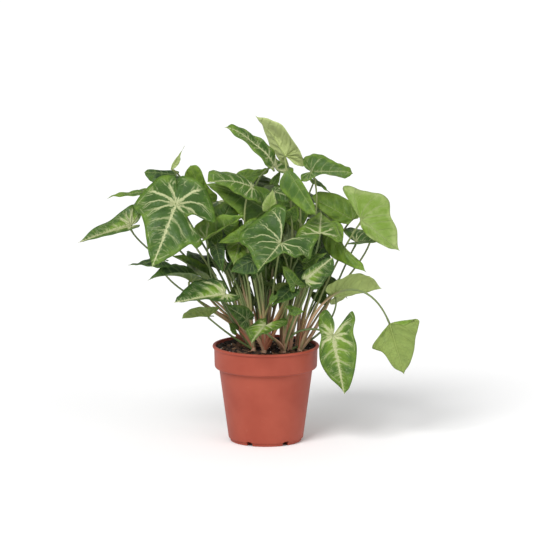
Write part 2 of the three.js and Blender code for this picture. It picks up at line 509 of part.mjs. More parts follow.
function soilBody() {
  const body = solid(revolve([
    [0, FLOOR + SOIL_CLEARANCE],
    [CHANNEL_INNER_RADIUS - WALL - SOIL_CLEARANCE, FLOOR + SOIL_CLEARANCE],
    [CHANNEL_INNER_RADIUS - POT_EDGE - SOIL_CLEARANCE, floorTop + SOIL_CLEARANCE],
    [FOOT_RADIUS - WALL, floorTop + SOIL_CLEARANCE],
    [SHOULDER_RADIUS - WALL - SOIL_CLEARANCE, SHOULDER_HEIGHT + SOIL_CLEARANCE],
    [collarBore - SOIL_CLEARANCE, SHOULDER_HEIGHT + STEP_RISE + SOIL_CLEARANCE],
    [collarBore, SOIL_HEIGHT + SOIL_EDGE_RISE],
    [collarBore - SOIL_EDGE_WIDTH, SOIL_HEIGHT + SOIL_CLEARANCE],
    [SOIL_EDGE_WIDTH, SOIL_HEIGHT],
    [0, SOIL_HEIGHT],
  ]));
  return Object.values(CROWNS).reduce((soil, spot) => {
    const bottom = CROWN_BOTTOM - SOIL_CLEARANCE;
    const hole = crownGeometry(spot, CROWN_RADIUS + SOIL_CLEARANCE, bottom, POT_HEIGHT);
    return soil.subtract(solid(hole));
  }, body);
}

// A closed rod through the points of a line, its radius given by the share of the way along it.
function rod(line, radiusAt) {
  const steps = line.length - 1;
  const frames = new THREE.CatmullRomCurve3(line).computeFrenetFrames(steps, false);
  const position = [];
  line.forEach((centre, step) => {
    for (let side = 0; side < PETIOLE_SIDES; side += 1) {
      const angle = (2 * Math.PI * side) / PETIOLE_SIDES;
      const point = centre.clone()
        .addScaledVector(frames.normals[step], Math.cos(angle) * radiusAt(step / steps))
        .addScaledVector(frames.binormals[step], Math.sin(angle) * radiusAt(step / steps));
      position.push(...point.toArray());
    }
  });
  const index = [];
  for (let step = 0; step < steps; step += 1) {
    for (let side = 0; side < PETIOLE_SIDES; side += 1) {
      const next = (side + 1) % PETIOLE_SIDES;
      const [a, b] = [step * PETIOLE_SIDES + side, step * PETIOLE_SIDES + next];
      index.push(a, b, b + PETIOLE_SIDES, a, b + PETIOLE_SIDES, a + PETIOLE_SIDES);
    }
  }
  const last = steps * PETIOLE_SIDES;
  for (let side = 1; side < PETIOLE_SIDES - 1; side += 1) {
    index.push(0, side + 1, side, last, last + side, last + side + 1);
  }
  const geometry = new THREE.BufferGeometry();
  geometry.setAttribute('position', new THREE.Float32BufferAttribute(position, 3));
  geometry.setIndex(index);
  return geometry;
}

const petioleRadius = (share) => {
  const pastFoot = (share - PETIOLE_FOOT_SHARE) / (1 - PETIOLE_FOOT_SHARE);
  return share < PETIOLE_FOOT_SHARE
    ? THREE.MathUtils.lerp(PETIOLE_BASE_RADIUS, PETIOLE_RADIUS, share / PETIOLE_FOOT_SHARE)
    : THREE.MathUtils.lerp(PETIOLE_RADIUS, PETIOLE_TIP_RADIUS, pastFoot);
};

// The petiole's centre line: up out of the crown and on to the blade's underside at the notch.
function petioleLine(leaf, bend) {
  const [x, y] = CROWNS[leaf.plant];
  const start = new THREE.Vector3(x, y, CROWN_TOP - PETIOLE_BASE_RADIUS);
  const { notchOut, notchAlong } = leaf.surface;
  const way = leaf.base.clone().sub(start);
  const reach = way.length();
  const arrival = way.clone().normalize().multiplyScalar(END_WAY_SHARE)
    .addScaledVector(notchOut, END_OUT_SHARE)
    .normalize();
  const tilt = Math.sqrt(Math.max(0, 1 - arrival.dot(notchOut) ** 2));
  const sunk = leaf.shape.small
    ? -SMALL_LEAF_SINK
    : BLADE_THICKNESS / 2 + PETIOLE_END_GAP + PETIOLE_TIP_RADIUS * tilt;
  const end = leaf.base.clone()
    .addScaledVector(notchOut, -sunk)
    .addScaledVector(notchAlong, PETIOLE_TIP_RADIUS);
  const [viaFirst, viaSecond] = leaf.shape.via ?? [];
  const climb = Math.max(way.z * START_RISE, LEAST_RISE);
  const rise = new THREE.Vector3(way.x * START_LEAN, way.y * START_LEAN, climb);
  const first = viaFirst ? vector(viaFirst) : start.clone().add(rise);
  const second = viaSecond
    ? vector(viaSecond)
    : end.clone().addScaledVector(arrival, -END_REACH * reach);
  first.add(bend);
  second.addScaledVector(bend, 1 - END_REACH);
  return new THREE.CubicBezierCurve3(start, first, second, end)
    .getSpacedPoints(leaf.shape.via ? ARCH_STEPS : PETIOLE_STEPS);
}

// Sideways bends to try, from none to wide, until a petiole runs clear of all else.
const BENDS = [new THREE.Vector3()];
for (let size = BEND_STEP; size <= BEND_LIMIT; size += BEND_STEP) {
  for (let turn = 0; turn < BEND_TURNS; turn += 1) {
    const angle = (2 * Math.PI * turn) / BEND_TURNS;
    BENDS.push(new THREE.Vector3(Math.cos(angle) * size, Math.sin(angle) * size, 0));
  }
}

function trianglesOf(geometry) {
  const { position } = geometry.attributes;
  const index = geometry.index.array;
  return Array.from({ length: index.length / 3 }, (_, i) => {
    const corners = [0, 1, 2].map((k) => (
      new THREE.Vector3().fromBufferAttribute(position, index[3 * i + k])));
    return new THREE.Triangle(...corners);
  });
}

const nearest = new THREE.Vector3();

function bladeIsClear(obstacle, point, room) {
  if (obstacle.box.distanceToPoint(point) > room) return true;
  return obstacle.triangles.every((triangle) => {
    triangle.closestPointToPoint(point, nearest);
    return nearest.distanceTo(point) > room;
  });
}

function potIsClear(point, room) {
  if (point.z > POT_HEIGHT + room) return true;
  return Math.hypot(point.x, point.y) < COLLAR_RADIUS - WALL - room && point.z > SOIL_HEIGHT;
}

// Points close together along a line of equal steps, with the stem's radius at each.
function samplesOf(line, radiusAt) {
  const steps = line.length - 1;
  const length = line[0].distanceTo(line[1]) * steps;
  const count = Math.ceil(length / SAMPLE_SPACING);
  return Array.from({ length: count + 1 }, (_, i) => {
    const share = i / count;
    const step = Math.min(Math.floor(share * steps), steps - 1);
    const point = line[step].clone().lerp(line[step + 1], share * steps - step);
    return { point, radius: radiusAt(share), left: (1 - share) * length };
  });
}

function routeIsClear(line, leaf, blades, stems) {
  return samplesOf(line, petioleRadius).slice(1).every(({ point, radius, left }) => {
    const room = radius + ROUTE_CLEARANCE;
    if (!potIsClear(point, room)) return false;
    const meetsBlade = blades.some((blade) => (
      !(blade === leaf && (left < END_LENGTH || leaf.shape.small))
      && !bladeIsClear(blade, point, room)));
    return !meetsBlade && !stems.some((stem) => stem.plant !== leaf.plant
      && stem.box.distanceToPoint(point) < room + CROWN_RADIUS
      && stem.samples.some((s) => s.point.distanceTo(point) < room + s.radius + SAMPLE_ROOM));
  });
}

function stemObstacle(plant, line, radiusAt) {
  const samples = samplesOf(line, radiusAt);
  return { plant, samples, box: new THREE.Box3().setFromPoints(samples.map((s) => s.point)) };
}

const leaves = LEAVES.map(([name, plant, base, tip, face, shape]) => {
  const leaf = { name, plant, shape, base: vector(base), tip: vector(tip) };
  leaf.surface = bladeSurface(leaf.base, leaf.tip, vector(face), shape);
  leaf.geometry = bladeMesh(bladeGrid(leaf.surface, shape), BLADE_THICKNESS);
  leaf.triangles = trianglesOf(leaf.geometry);
  leaf.box = new THREE.Box3().setFromPoints(leaf.triangles.flatMap((t) => [t.a, t.b, t.c]));
  return leaf;
});

const stems = Object.entries(CROWNS).map(([plant, [x, y]]) => {
  const line = [new THREE.Vector3(x, y, CROWN_BOTTOM), new THREE.Vector3(x, y, CROWN_TOP)];
  return stemObstacle(plant, line, () => CROWN_RADIUS);
});
leaves.forEach((leaf) => {
  const bend = BENDS.find((way) => routeIsClear(petioleLine(leaf, way), leaf, leaves, stems));
  leaf.line = petioleLine(leaf, bend ?? BENDS[0]);
  stems.push(stemObstacle(leaf.plant, leaf.line, petioleRadius));
});

function plantletBody(plant) {
  const crown = solid(crownGeometry(CROWNS[plant], CROWN_RADIUS, CROWN_BOTTOM, CROWN_TOP));
  return leaves.filter((leaf) => leaf.plant === plant).reduce((body, leaf) => {
    const joined = body.add(solid(rod(leaf.line, petioleRadius)));
    return leaf.shape.small ? joined.add(solid(leaf.geometry)) : joined;
  }, crown);
}

const plantInPot = new THREE.Group();

function addMesh(name, geometry, finish) {
  const mesh = new THREE.Mesh(geometry, finish);
  mesh.name = name;
  plantInPot.add(mesh);
}

addMesh('pot', geometryOf(potBody()), potFinish);
addMesh('soil', geometryOf(soilBody()), soilFinish);
Object.keys(CROWNS).forEach((plant) => {
  addMesh(`stems_${plant}`, geometryOf(plantletBody(plant)), stemFinish);
});
leaves.filter((leaf) => !leaf.shape.small).forEach((leaf) => {
  addMesh(leaf.name, leaf.geometry, leafFinishes[leaf.shape.finish]);
});

export default plantInPot;
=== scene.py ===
"""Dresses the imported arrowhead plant: fine leaves, stems, soil and pot on the CAD frame.

Sizes are in millimetres in the tables and metres in Blender. +Z is up and -Y is the front.
"""
import math
import random

import bmesh
import bpy
import numpy as np
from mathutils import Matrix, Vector, kdtree, noise


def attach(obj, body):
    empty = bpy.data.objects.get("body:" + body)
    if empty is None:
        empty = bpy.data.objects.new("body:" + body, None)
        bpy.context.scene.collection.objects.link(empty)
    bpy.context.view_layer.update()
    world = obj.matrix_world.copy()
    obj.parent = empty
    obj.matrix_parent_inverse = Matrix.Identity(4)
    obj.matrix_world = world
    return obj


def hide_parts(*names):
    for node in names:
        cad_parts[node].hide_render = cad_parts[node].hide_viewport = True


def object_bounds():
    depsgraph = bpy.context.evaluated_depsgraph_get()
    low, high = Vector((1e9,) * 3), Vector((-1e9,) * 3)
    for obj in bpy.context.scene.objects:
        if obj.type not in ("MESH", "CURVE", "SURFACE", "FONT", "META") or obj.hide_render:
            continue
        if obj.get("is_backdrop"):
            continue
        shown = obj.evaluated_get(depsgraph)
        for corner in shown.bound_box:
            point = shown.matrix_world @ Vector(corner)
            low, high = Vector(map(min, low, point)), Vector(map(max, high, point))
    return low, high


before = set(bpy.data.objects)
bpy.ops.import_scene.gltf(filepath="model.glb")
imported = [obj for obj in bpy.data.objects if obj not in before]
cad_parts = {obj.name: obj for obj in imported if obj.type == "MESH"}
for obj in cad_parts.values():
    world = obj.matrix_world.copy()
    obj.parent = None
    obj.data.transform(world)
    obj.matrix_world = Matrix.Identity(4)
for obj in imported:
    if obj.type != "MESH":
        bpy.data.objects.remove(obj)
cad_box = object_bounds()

MM = 0.001
ROOT = "root"

# Sizes shared with the CAD part.
POT_HEIGHT = 109
LIP_RADIUS = 60
COLLAR_RADIUS = 58.2
SHOULDER_HEIGHT = 82
SHOULDER_RADIUS = 52.5
FOOT_RADIUS = 41.8
LIP_DEPTH = 2.7
STEP_RISE = 3.8
WALL = 1.7
WALL_DRAFT = 0.7
FLOOR = 1.8
POT_EDGE = 0.6
CHANNEL_HEIGHT = 2.6
CHANNEL_INNER_RADIUS = 28
CHANNEL_OUTER_RADIUS = 36.8
DRAIN_COUNT = 6
DRAIN_WIDTH = 7
DRAIN_HEIGHT = 5.2
DRAIN_DEPTH = 12
DRAIN_OVERCUT = 1
DRAIN_ANGLE = -27
SOIL_CLEARANCE = 0.4
SOIL_HEIGHT = 103
SOIL_EDGE_WIDTH = 6
SOIL_EDGE_RISE = 3.6
CROWN_RADIUS = 3.3
CROWN_BOTTOM = 84
CROWN_TOP = 106
CAD_BLADE_THICKNESS = 0.7
MARGIN_DROOP = math.radians(30)
WAVE_STEP = 1.9
LOBE_SHARE = 0.35
SMALL_BLADE = 60
PETIOLE_BASE_RADIUS = 2
PETIOLE_RADIUS = 1.3
PETIOLE_TIP_RADIUS = 0.95
PETIOLE_STEPS = 6
ARCH_STEPS = 7
PETIOLE_END_GAP = 0.35
PETIOLE_FOOT_SHARE = 0.2
SMALL_LEAF_SINK = 0.2
START_LEAN = 0.18
START_RISE = 0.45
LEAST_RISE = 9
END_REACH = 0.3
END_WAY_SHARE = 0.5
END_OUT_SHARE = 0.9
BEND_STEP = 5
BEND_LIMIT = 60
BEND_TURNS = 12

# Where each plantlet's crown stands in the soil.
CROWNS = {
    "a": (-24, 13), "b": (-14, -3), "c": (-2, -12), "d": (2, 8), "e": (20, -16),
    "f": (27, -4), "g": (38, -8), "h": (18, 20), "i": (-6, 28), "j": (35, 12),
}

# Each leaf as in the CAD part: its name, its plantlet, the notch where the petiole joins, the
# tip, roughly where the upper face looks, its finish and its shape; the dark finish is painted
# shade, given to leaves that lie in shade. The edges in a shape run from the tip to the notch,
# in hundredths of the midrib: ahead of the notch and out from it.
LEAVES = [
    ("leaf_01", "a", (-100, -35, 274), (-126, -78, 210), (0.05, -0.8, 0.6), "veined",
     {"bow": 15, "hang": -5, "left_edge": [(83, 14), (65, 28), (49, 38), (50, 49), (37, 53),
      (22, 32), (12, 20), (2, 28), (-1, 61), (-20, 50), (-39, 32), (-47, 2), (-41, -13)],
      "right_edge": [(79, 12), (56, 24), (37, 34), (23, 46), (9, 60), (-5, 55), (-20, 47),
      (-37, 38), (-44, 18)]}),
    ("leaf_02", "a", (-70, 5, 276), (-84, 0, 313), (-0.2, -0.9, 0.3), "bright",
     {"bow": 20, "left_edge": [(94, 10), (82, 24), (54, 36), (17, 45), (-14, 38), (-24, 18),
      (-10, 5)], "right_edge": [(94, 16), (73, 23), (46, 22), (20, 26), (-10, 38), (-27, 28),
      (-16, 7)]}),
    ("leaf_03", "a", (-101, 8, 301), (-136, -2, 305), (0, -0.8, 0.6), "dark",
     {"bow": 15, "left_edge": [(93, 12), (80, 26), (60, 36), (30, 42), (0, 42), (-20, 35),
      (-20, 12)], "right_edge": [(90, 8), (20, 14), (-12, 12), (-10, 4)]}),
    ("new_leaf", "a", (-105, -14, 311), (-90, -18, 338), (0, -1, 0.3), "bright",
     {"left": 20, "right": 20, "left_edge": [(60, 2), (45, 5), (22, 7), (5, 4)],
      "right_edge": [(62, 4), (48, 12), (30, 14), (12, 10), (2, 4)]}),
    ("leaf_04", "a", (-134, 8, 281), (-177, -2, 274), (0.1, -0.3, 0.95), "pale",
     {"wide": 0.2, "lobe": 0.2, "bow": 30}),
    ("leaf_05", "b", (-151, -10, 246), (-210, -22, 229), (-0.2, -0.9, 0.35), "veined",
     {"left": 65, "bow": 15, "left_edge": [(85, 5), (60, 14), (35, 20), (10, 24), (-10, 20),
      (-15, 5)], "right_edge": [(68, 13), (26, 24), (1, 34), (-22, 38), (-28, 22), (-17, 5)]}),
    ("leaf_06", "b", (-118, -12, 206), (-154, -18, 202), (0, -0.2, 1), "dark",
     {"wide": 0.36, "lobe": 0.3, "bow": 20}),
    ("leaf_07", "b", (-84, -8, 184), (-132, -24, 187), (0, -0.55, 0.83), "dark",
     {"wide": 0.44, "lobe": 0.22, "left": 70, "right": 12, "bow": 65}),
    ("leaf_08", "b", (-67, 14, 180), (-108, 12, 213), (0.3, -0.3, 0.9), "bright",
     {"wide": 0.3, "lobe": 0.15, "left": 62, "right": 62}),
    ("leaf_09", "a", (-69, 36, 194), (-90, 62, 204), (-0.3, 0.1, 0.95), "dark",
     {"wide": 0.55, "lobe": 0.4, "bow": 25}),
    ("leaf_10", "c", (-46, -40, 174), (-102, -52, 166), (0.05, -0.72, 0.68), "veined",
     {"left": 38, "bow": 15, "left_edge": [(85, 3), (58, 10), (30, 20), (4, 30), (-21, 24),
      (-28, 10), (-18, 1)], "right_edge": [(90, 12), (73, 28), (51, 43), (34, 48), (17, 46),
      (2, 38), (-8, 26), (-6, 9)]}),
    ("leaf_11", "b", (-50, 4, 248), (-34, 14, 275), (-0.1, -0.95, 0.3), "bright",
     {"wide": 0.62, "lobe": 0.3, "bow": 20, "wave": 0.04}),
    ("leaf_12", "b", (-66, -12, 232), (-22, -24, 263), (-0.5, -0.2, 0.8), "bright",
     {"wide": 0.38, "lobe": 0.2, "left": 80, "right": 30}),
    ("leaf_13", "b", (-64, -20, 145), (-94, -26, 144), (-0.1, 0.75, 0.65), "pale",
     {"left": 15, "right": 62, "bow": 10, "via": [(-31, -9, 114), (-50, -15, 130)],
      "left_edge": [(90, 28), (65, 44), (28, 58), (-9, 64), (-38, 46), (-14, 14)],
      "right_edge": [(70, 14), (40, 20), (10, 20), (-20, 16), (-20, 5)]}),
    ("leaf_14", "c", (-22, -26, 143), (-46, -38, 163), (0.2, -0.85, 0.5), "veined",
     {"wide": 0.36, "lobe": 0.3, "left": 15, "right": 15, "bow": 25}),
    ("small_leaf_01", "a", (-34, -18, 130), (-42, -23, 138), (0.2, -0.85, 0.5), "bright",
     {"wide": 0.5, "lobe": 0.4}),
    ("leaf_15", "e", (-1, -50, 140), (-16, -84, 127), (-0.1, -0.5, 0.85), "veined",
     {"wide": 0.56, "lobe": 0.74, "left": 25, "bow": 30}),
    ("leaf_16", "d", (16, -60, 235), (-9, -80, 206), (-0.1, -0.85, 0.5), "veined",
     {"left": 8, "right": 20, "bow": 15, "hang": -5, "left_edge": [(74, 3), (50, 14), (20, 22),
      (8, 54), (-14, 64), (-20, 82), (-46, 73), (-80, 66), (-52, 29)], "right_edge": [(78, 31),
      (63, 53), (56, 80), (44, 101), (20, 111), (-25, 97), (-62, 86), (-83, 78), (-91, 48),
      (-70, 33)]}),
    ("leaf_17", "d", (4, -26, 269), (8, -28, 291), (0, -1, 0.1), "bright",
     {"wide": 0.38, "lobe": 0.2, "left": 20, "right": 20}),
    ("leaf_18", "i", (0, 10, 261), (-68, 0, 292), (0.2, -0.75, 0.6), "bright",
     {"wide": 0.36, "lobe": 0.3, "bow": 30}),
    ("leaf_19", "c", (-16, -14, 291), (-65, -28, 300), (-0.05, -0.55, 0.83), "veined",
     {"wide": 0.36, "lobe": 0.35, "bow": 35, "hang": 55, "right_edge": [(95, 22), (87, 34),
      (67, 40), (34, 36), (10, 30), (-15, 16), (-10, 5)]}),
    ("leaf_20", "i", (-24, 36, 293), (4, 32, 304), (0.1, -0.6, 0.8), "bright",
     {"wide": 0.42, "lobe": 0.35, "bow": -15, "wave": 0.1}),
    ("leaf_21", "d", (9, 10, 310), (-46, 0, 353), (0.4, -0.6, 0.7), "veined",
     {"bow": 75, "hang": -75, "left_edge": [(80, 10), (50, 15), (20, 15), (0, 10), (-6, 4)],
      "right_edge": [(90, 10), (70, 17), (45, 19), (20, 18), (-5, 22), (-28, 26), (-34, 14),
      (-14, 3)]}),
    ("leaf_22", "d", (22, 32, 318), (-11, 24, 366), (0.4, 0.9, 0.35), "pale",
     {"wide": 0.34, "lobe": 0.25, "right": 42, "bow": 10, "left_edge": [(83, 26), (54, 41),
      (-2, 43), (-24, 37), (-33, 20), (-15, 7)]}),
    ("leaf_23", "f", (51, 4, 305), (97, -2, 303), (0, -0.75, 0.65), "veined",
     {"left": 20, "bow": 35, "left_edge": [(90, 15), (72, 19), (55, 24), (34, 37), (12, 46),
      (-8, 46), (-22, 36), (-18, 14)], "right_edge": [(92, 10), (82, 16), (57, 10), (21, 8),
      (-4, 24), (-22, 24), (-26, 6)]}),
    ("small_leaf_02", "f", (54, 20, 293), (73, 12, 280), (0.3, -0.3, 0.9), "bright",
     {"wide": 0.26, "lobe": 0.2}),
    ("leaf_24", "d", (24, -26, 312), (56, -42, 264), (-0.2, -0.9, 0.4), "bright",
     {"bow": 20, "left_edge": [(85, 6), (50, 11), (20, 10), (5, 5)], "right_edge": [(90, 12),
      (67, 20), (37, 28), (19, 29), (5, 16)]}),
    ("leaf_25", "d", (10, -10, 284), (37, -24, 276), (0.1, -0.6, 0.8), "veined",
     {"wide": 0.42, "lobe": 0.3, "bow": 35}),
    ("leaf_26", "g", (106, -30, 256), (149, -50, 225), (-0.1, -0.95, 0.3), "pale",
     {"right": -16, "bow": 15, "via": [(54, -10, 155), (89, 8, 226)], "left_edge": [(67, 30),
      (40, 44), (13, 69), (-6, 72), (-30, 58), (-47, 48), (-70, 38), (-73, 28), (-52, 18),
      (-20, 7)], "right_edge": [(80, 10), (50, 16), (25, 17), (4, 8)]}),
    ("leaf_27", "g", (97, 14, 249), (51, 20, 273), (0.1, -0.9, 0.4), "bright",
     {"bow": 10, "left_edge": [(80, 12), (50, 20), (25, 20), (2, 12)], "right_edge": [(97, 10),
      (90, 22), (52, 36), (25, 34), (0, 25), (-10, 10)]}),
    ("leaf_28", "g", (101, 4, 225), (138, 0, 227), (0, -0.8, 0.6), "veined",
     {"right": 70, "bow": 20, "via": [(66, -4, 134), (84, 6, 195)], "left_edge": [(80, 14),
      (50, 30), (20, 46), (-10, 62), (-32, 68), (-42, 50), (-20, 16)], "right_edge": [(80, 20),
      (50, 40), (15, 46), (-20, 36), (-20, 12)]}),
    ("small_leaf_03", "g", (118, 20, 242), (143, 20, 248), (0, -0.6, 0.8), "bright",
     {"wide": 0.36, "lobe": 0.3, "bow": 15}),
    ("leaf_29", "f", (60, -42, 243), (62, 0, 258), (0, -0.4, 0.9), "veined",
     {"wide": 0.64, "lobe": 0.06, "right": -8, "bow": 25}),
    ("leaf_30", "f", (71, -14, 238), (111, -35, 198), (-0.3, -0.9, 0.2), "dark",
     {"bow": -20, "left_edge": [(81, 6), (62, 3), (44, 3), (30, 6), (18, 20), (2, 28), (-13, 20)],
      "right_edge": [(80, 10), (58, 19), (36, 28), (14, 26), (-6, 12)]}),
    ("leaf_31", "f", (77, -20, 167), (130, -10, 174), (0, 0.95, 0.3), "pale",
     {"left": 45, "bow": 20, "via": [(60, -7, 115), (76, -31, 152)], "left_edge": [(73, 6), (45, 8),
      (25, 14), (15, 30), (2, 34), (-8, 20)], "right_edge": [(83, 31), (72, 39), (55, 47), (31, 51),
      (6, 46), (-9, 36), (-20, 22)]}),
    ("small_leaf_04", "j", (58, 10, 166), (69, 3, 152), (-0.3, -0.9, 0.3), "bright",
     {"wide": 0.5, "lobe": 0.3}),
    ("leaf_32", "e", (44, -50, 193), (75, -62, 220), (-0.1, -0.9, 0.2), "veined",
     {"bow": 15, "left_edge": [(85, 8), (50, 15), (25, 18), (0, 15), (-10, 7)],
      "right_edge": [(92, 14), (74, 30), (45, 33), (30, 39), (13, 42), (-5, 30), (-7, 10)]}),
    ("small_leaf_05", "e", (46, -34, 209), (68, -44, 222), (-0.2, -0.6, 0.75), "bright",
     {"wide": 0.32, "lobe": 0.25}),
    ("leaf_33", "c", (32, -42, 187), (18, -48, 208), (0.1, -0.95, 0.2), "bright",
     {"left_edge": [(80, 10), (45, 20), (10, 24), (-20, 33), (-34, 24), (-15, 6)],
      "right_edge": [(85, 12), (50, 24), (10, 26), (-15, 30), (-42, 34), (-40, 18), (-14, 4)]}),
    ("leaf_34", "c", (25, -11, 175), (5, -15, 179), (0, 0.9, 0.45), "pale",
     {"wide": 0.55, "lobe": 0.4}),
    ("leaf_35", "c", (27, -34, 178), (6, -51, 161), (-0.3, -0.8, 0.5), "dark",
     {"wide": 0.34, "lobe": 0.25, "bow": 20}),
    ("small_leaf_06", "c", (9, -50, 174), (4, -54, 164), (-0.3, -0.9, 0.3), "bright",
     {"wide": 0.36, "lobe": 0.2}),
    ("small_leaf_07", "e", (31, -45, 156), (43, -49, 156), (0, -0.8, 0.6), "bright",
     {"wide": 0.45, "lobe": 0.3}),
    ("small_leaf_08", "e", (30, -38, 157), (22, -42, 161), (0, -0.8, 0.6), "bright",
     {"wide": 0.45, "lobe": 0.3}),
    ("leaf_36", "e", (75, -30, 125), (88, -38, 60), (-0.1, -1, 0.05), "veined",
     {"bow": 12, "via": [(22, -16, 132), (59, -14, 136)], "left_edge": [(91, 10), (61, 26),
      (23, 36), (-1, 35), (-21, 42), (-35, 39), (-29, 30), (-15, 15)], "right_edge": [(69, 19),
      (43, 29), (19, 28), (-3, 20), (-24, 21), (-40, 14), (-45, 3), (-33, -4), (-16, -6)]}),
    ("leaf_37", "g", (138.5, -10, 135), (155, -16, 78), (-0.1, 0.95, 0.1), "pale",
     {"left": 15, "right": 15, "bow": 20, "via": [(48, -20, 185), (108, -36, 204)],
      "left_edge": [(83, 15), (50, 27), (42, 37), (36, 44), (26, 36), (20, 24), (12, 12)],
      "right_edge": [(83, 17), (60, 32), (42, 39), (25, 48), (10, 55), (5, 47), (11, 32),
      (9, 14)]}),
    ("leaf_38", "b", (-30, -4, 225), (-36, -22, 203), (-0.1, -0.9, 0.4), "bright",
     {"wide": 0.5, "lobe": 0.25, "bow": 20}),
    ("leaf_39", "c", (-20, -24, 236), (-54, -22, 229), (0, -0.85, 0.5), "bright",
     {"right": 18, "bow": 20, "left_edge": [(70, 8), (0, 12), (-20, 6)], "right_edge": [(80, 10),
      (50, 20), (20, 36), (-5, 52), (-32, 62), (-46, 45), (-20, 14)]}),
    ("leaf_40", "c", (-14, -46, 213), (-40, -42, 199), (0, -0.7, 0.7), "dark",
     {"wide": 0.5, "lobe": 0.35, "bow": 25}),
    ("leaf_41", "b", (-55, -14, 222), (-48, -24, 194), (-0.3, -0.8, 0.3), "dark",
     {"wide": 0.28, "lobe": 0.3}),
    ("small_leaf_09", "h", (9, 24, 289), (17, 26, 303), (0, -0.9, 0.3), "bright",
     {"wide": 0.3, "lobe": 0.2}),
    ("small_leaf_10", "e", (29, -20, 259), (36, -26, 274), (-0.4, -0.8, 0.2), "bright",
     {"wide": 0.45, "lobe": 0.3, "left": 45}),
    ("small_leaf_11", "h", (10, 14, 206), (-2, 4, 178), (-0.1, -0.8, 0.5), "bright",
     {"wide": 0.5, "lobe": 0.4, "bow": 20}),
    ("small_leaf_12", "d", (31, 10, 212), (37, -3, 184), (0.2, -0.8, 0.5), "bright",
     {"wide": 0.5, "lobe": 0.4, "bow": 20}),
    ("small_leaf_13", "f", (32, 12, 262), (37, 2, 234), (0, -0.9, 0.4), "bright",
     {"wide": 0.55, "lobe": 0.4, "bow": 20}),
    ("small_leaf_14", "b", (-58, 0, 235), (-65, -8, 218), (0, -0.9, 0.4), "bright",
     {"wide": 0.5, "lobe": 0.4, "bow": 15}),
    ("leaf_42", "i", (-55, 55, 262), (-95, 100, 235), (-0.4, 0.5, 0.8), "veined",
     {"wide": 0.46, "lobe": 0.4, "bow": 35}),
    ("leaf_43", "i", (-20, 72, 284), (-34, 128, 244), (-0.1, 0.6, 0.8), "veined",
     {"wide": 0.44, "lobe": 0.4, "bow": 35}),
    ("leaf_44", "h", (24, 78, 272), (32, 136, 228), (0.1, 0.6, 0.8), "bright",
     {"wide": 0.48, "lobe": 0.45, "bow": 35}),
    ("leaf_45", "j", (62, 52, 256), (76, 102, 218), (0.3, 0.6, 0.7), "veined",
     {"wide": 0.46, "lobe": 0.4, "bow": 30}),
    ("leaf_46", "i", (-42, 66, 220), (-50, 116, 192), (-0.3, 0.6, 0.7), "veined",
     {"wide": 0.42, "lobe": 0.35, "bow": 30}),
    ("leaf_47", "h", (12, 84, 222), (15, 134, 184), (0, 0.6, 0.8), "bright",
     {"wide": 0.44, "lobe": 0.4, "bow": 30}),
    ("leaf_48", "j", (48, 66, 206), (60, 108, 172), (0.3, 0.6, 0.7), "veined",
     {"wide": 0.42, "lobe": 0.35, "bow": 30}),
]

# How much cream a leaf's veins carry, how bright its green is (0 dark, 1 lime) and how wide the
# cream is, for each finish. The brightness is partly the leaf's own green and partly painted
# shade: the dark finish paints a deep green onto leaves that lie in shade.
FINISH_LOOKS = {
    "veined": {"cream": 0.9, "tone": 0.42, "spread": 1.0},
    "bright": {"cream": 0.3, "tone": 0.62, "spread": 0.6},
    "pale": {"cream": 0.45, "tone": 0.7, "spread": 0.8},
    # painted shade: a deep green for leaves that lie in shade
    "dark": {"cream": 0.25, "tone": 0.22, "spread": 0.6},
}

# Leaves that differ from their finish, in the same ways, in how deep the blade is quilted
# between its veins, or in the tone of the petiole (0 red, 1 green). The raised tones of
# leaf_22 and leaf_38 are painted light on leaves that lie in shade.
LEAF_LOOKS = {
    "leaf_01": {"cream": 1, "spread": 1.15},
    "leaf_02": {"tone": 0.85, "cream": 0.1},
    "new_leaf": {"tone": 2.1, "cream": 0.2},
    "leaf_05": {"cream": 1, "spread": 1.95, "tone": 0.55},
    "leaf_10": {"cream": 1, "spread": 2.2, "tone": 0.42},
    "leaf_12": {"tone": 0.72, "cream": 0.5, "spread": 1.1},
    "leaf_13": {"tone": 0.78, "stem": 0.95},
    "leaf_14": {"cream": 0.6, "tone": 0.3},
    "leaf_15": {"cream": 0.95, "spread": 2.6, "tone": 0.75},
    "leaf_16": {"cream": 1, "spread": 1.0, "tone": 0.4},
    "leaf_17": {"tone": 1.6, "cream": 0.15},
    "leaf_18": {"tone": 0.6, "cream": 0.1},
    "leaf_19": {"cream": 0.9, "tone": 0.55},
    "leaf_20": {"tone": 0.75, "cream": 0.15},
    "leaf_21": {"cream": 1, "spread": 1.2, "tone": 0.5},
    # painted light: a raised tone lightens this underside, which lies in shade
    "leaf_22": {"tone": 1.66, "cream": 0.3, "quilt": 1.6},
    "leaf_23": {"cream": 0.55, "spread": 0.8, "tone": 0.55},
    "leaf_24": {"tone": 0.62, "cream": 0.15},
    "leaf_26": {"tone": 1.42, "cream": 0.2},
    "leaf_27": {"tone": 0.8, "cream": 0.2},
    "leaf_29": {"cream": 1, "spread": 1.3, "tone": 0.72},
    "leaf_30": {"tone": 0.82, "cream": 0.1},
    "leaf_31": {"tone": 1.32, "cream": 0.3, "stem": 0.88},
    "leaf_32": {"cream": 1, "spread": 2.4, "tone": 0.48},
    "leaf_34": {"tone": 1.1},
    "leaf_36": {"cream": 1, "spread": 1.8, "tone": 0.68, "stem": 0.95},
    "leaf_37": {"tone": 1.12, "cream": 0.3, "stem": 0.8},
    # painted light: a raised tone lightens this leaf, which lies in shade
    "leaf_38": {"cream": 0.6, "spread": 0.9, "tone": 1.15},
    "leaf_39": {"tone": 0.8, "cream": 0.2},
}

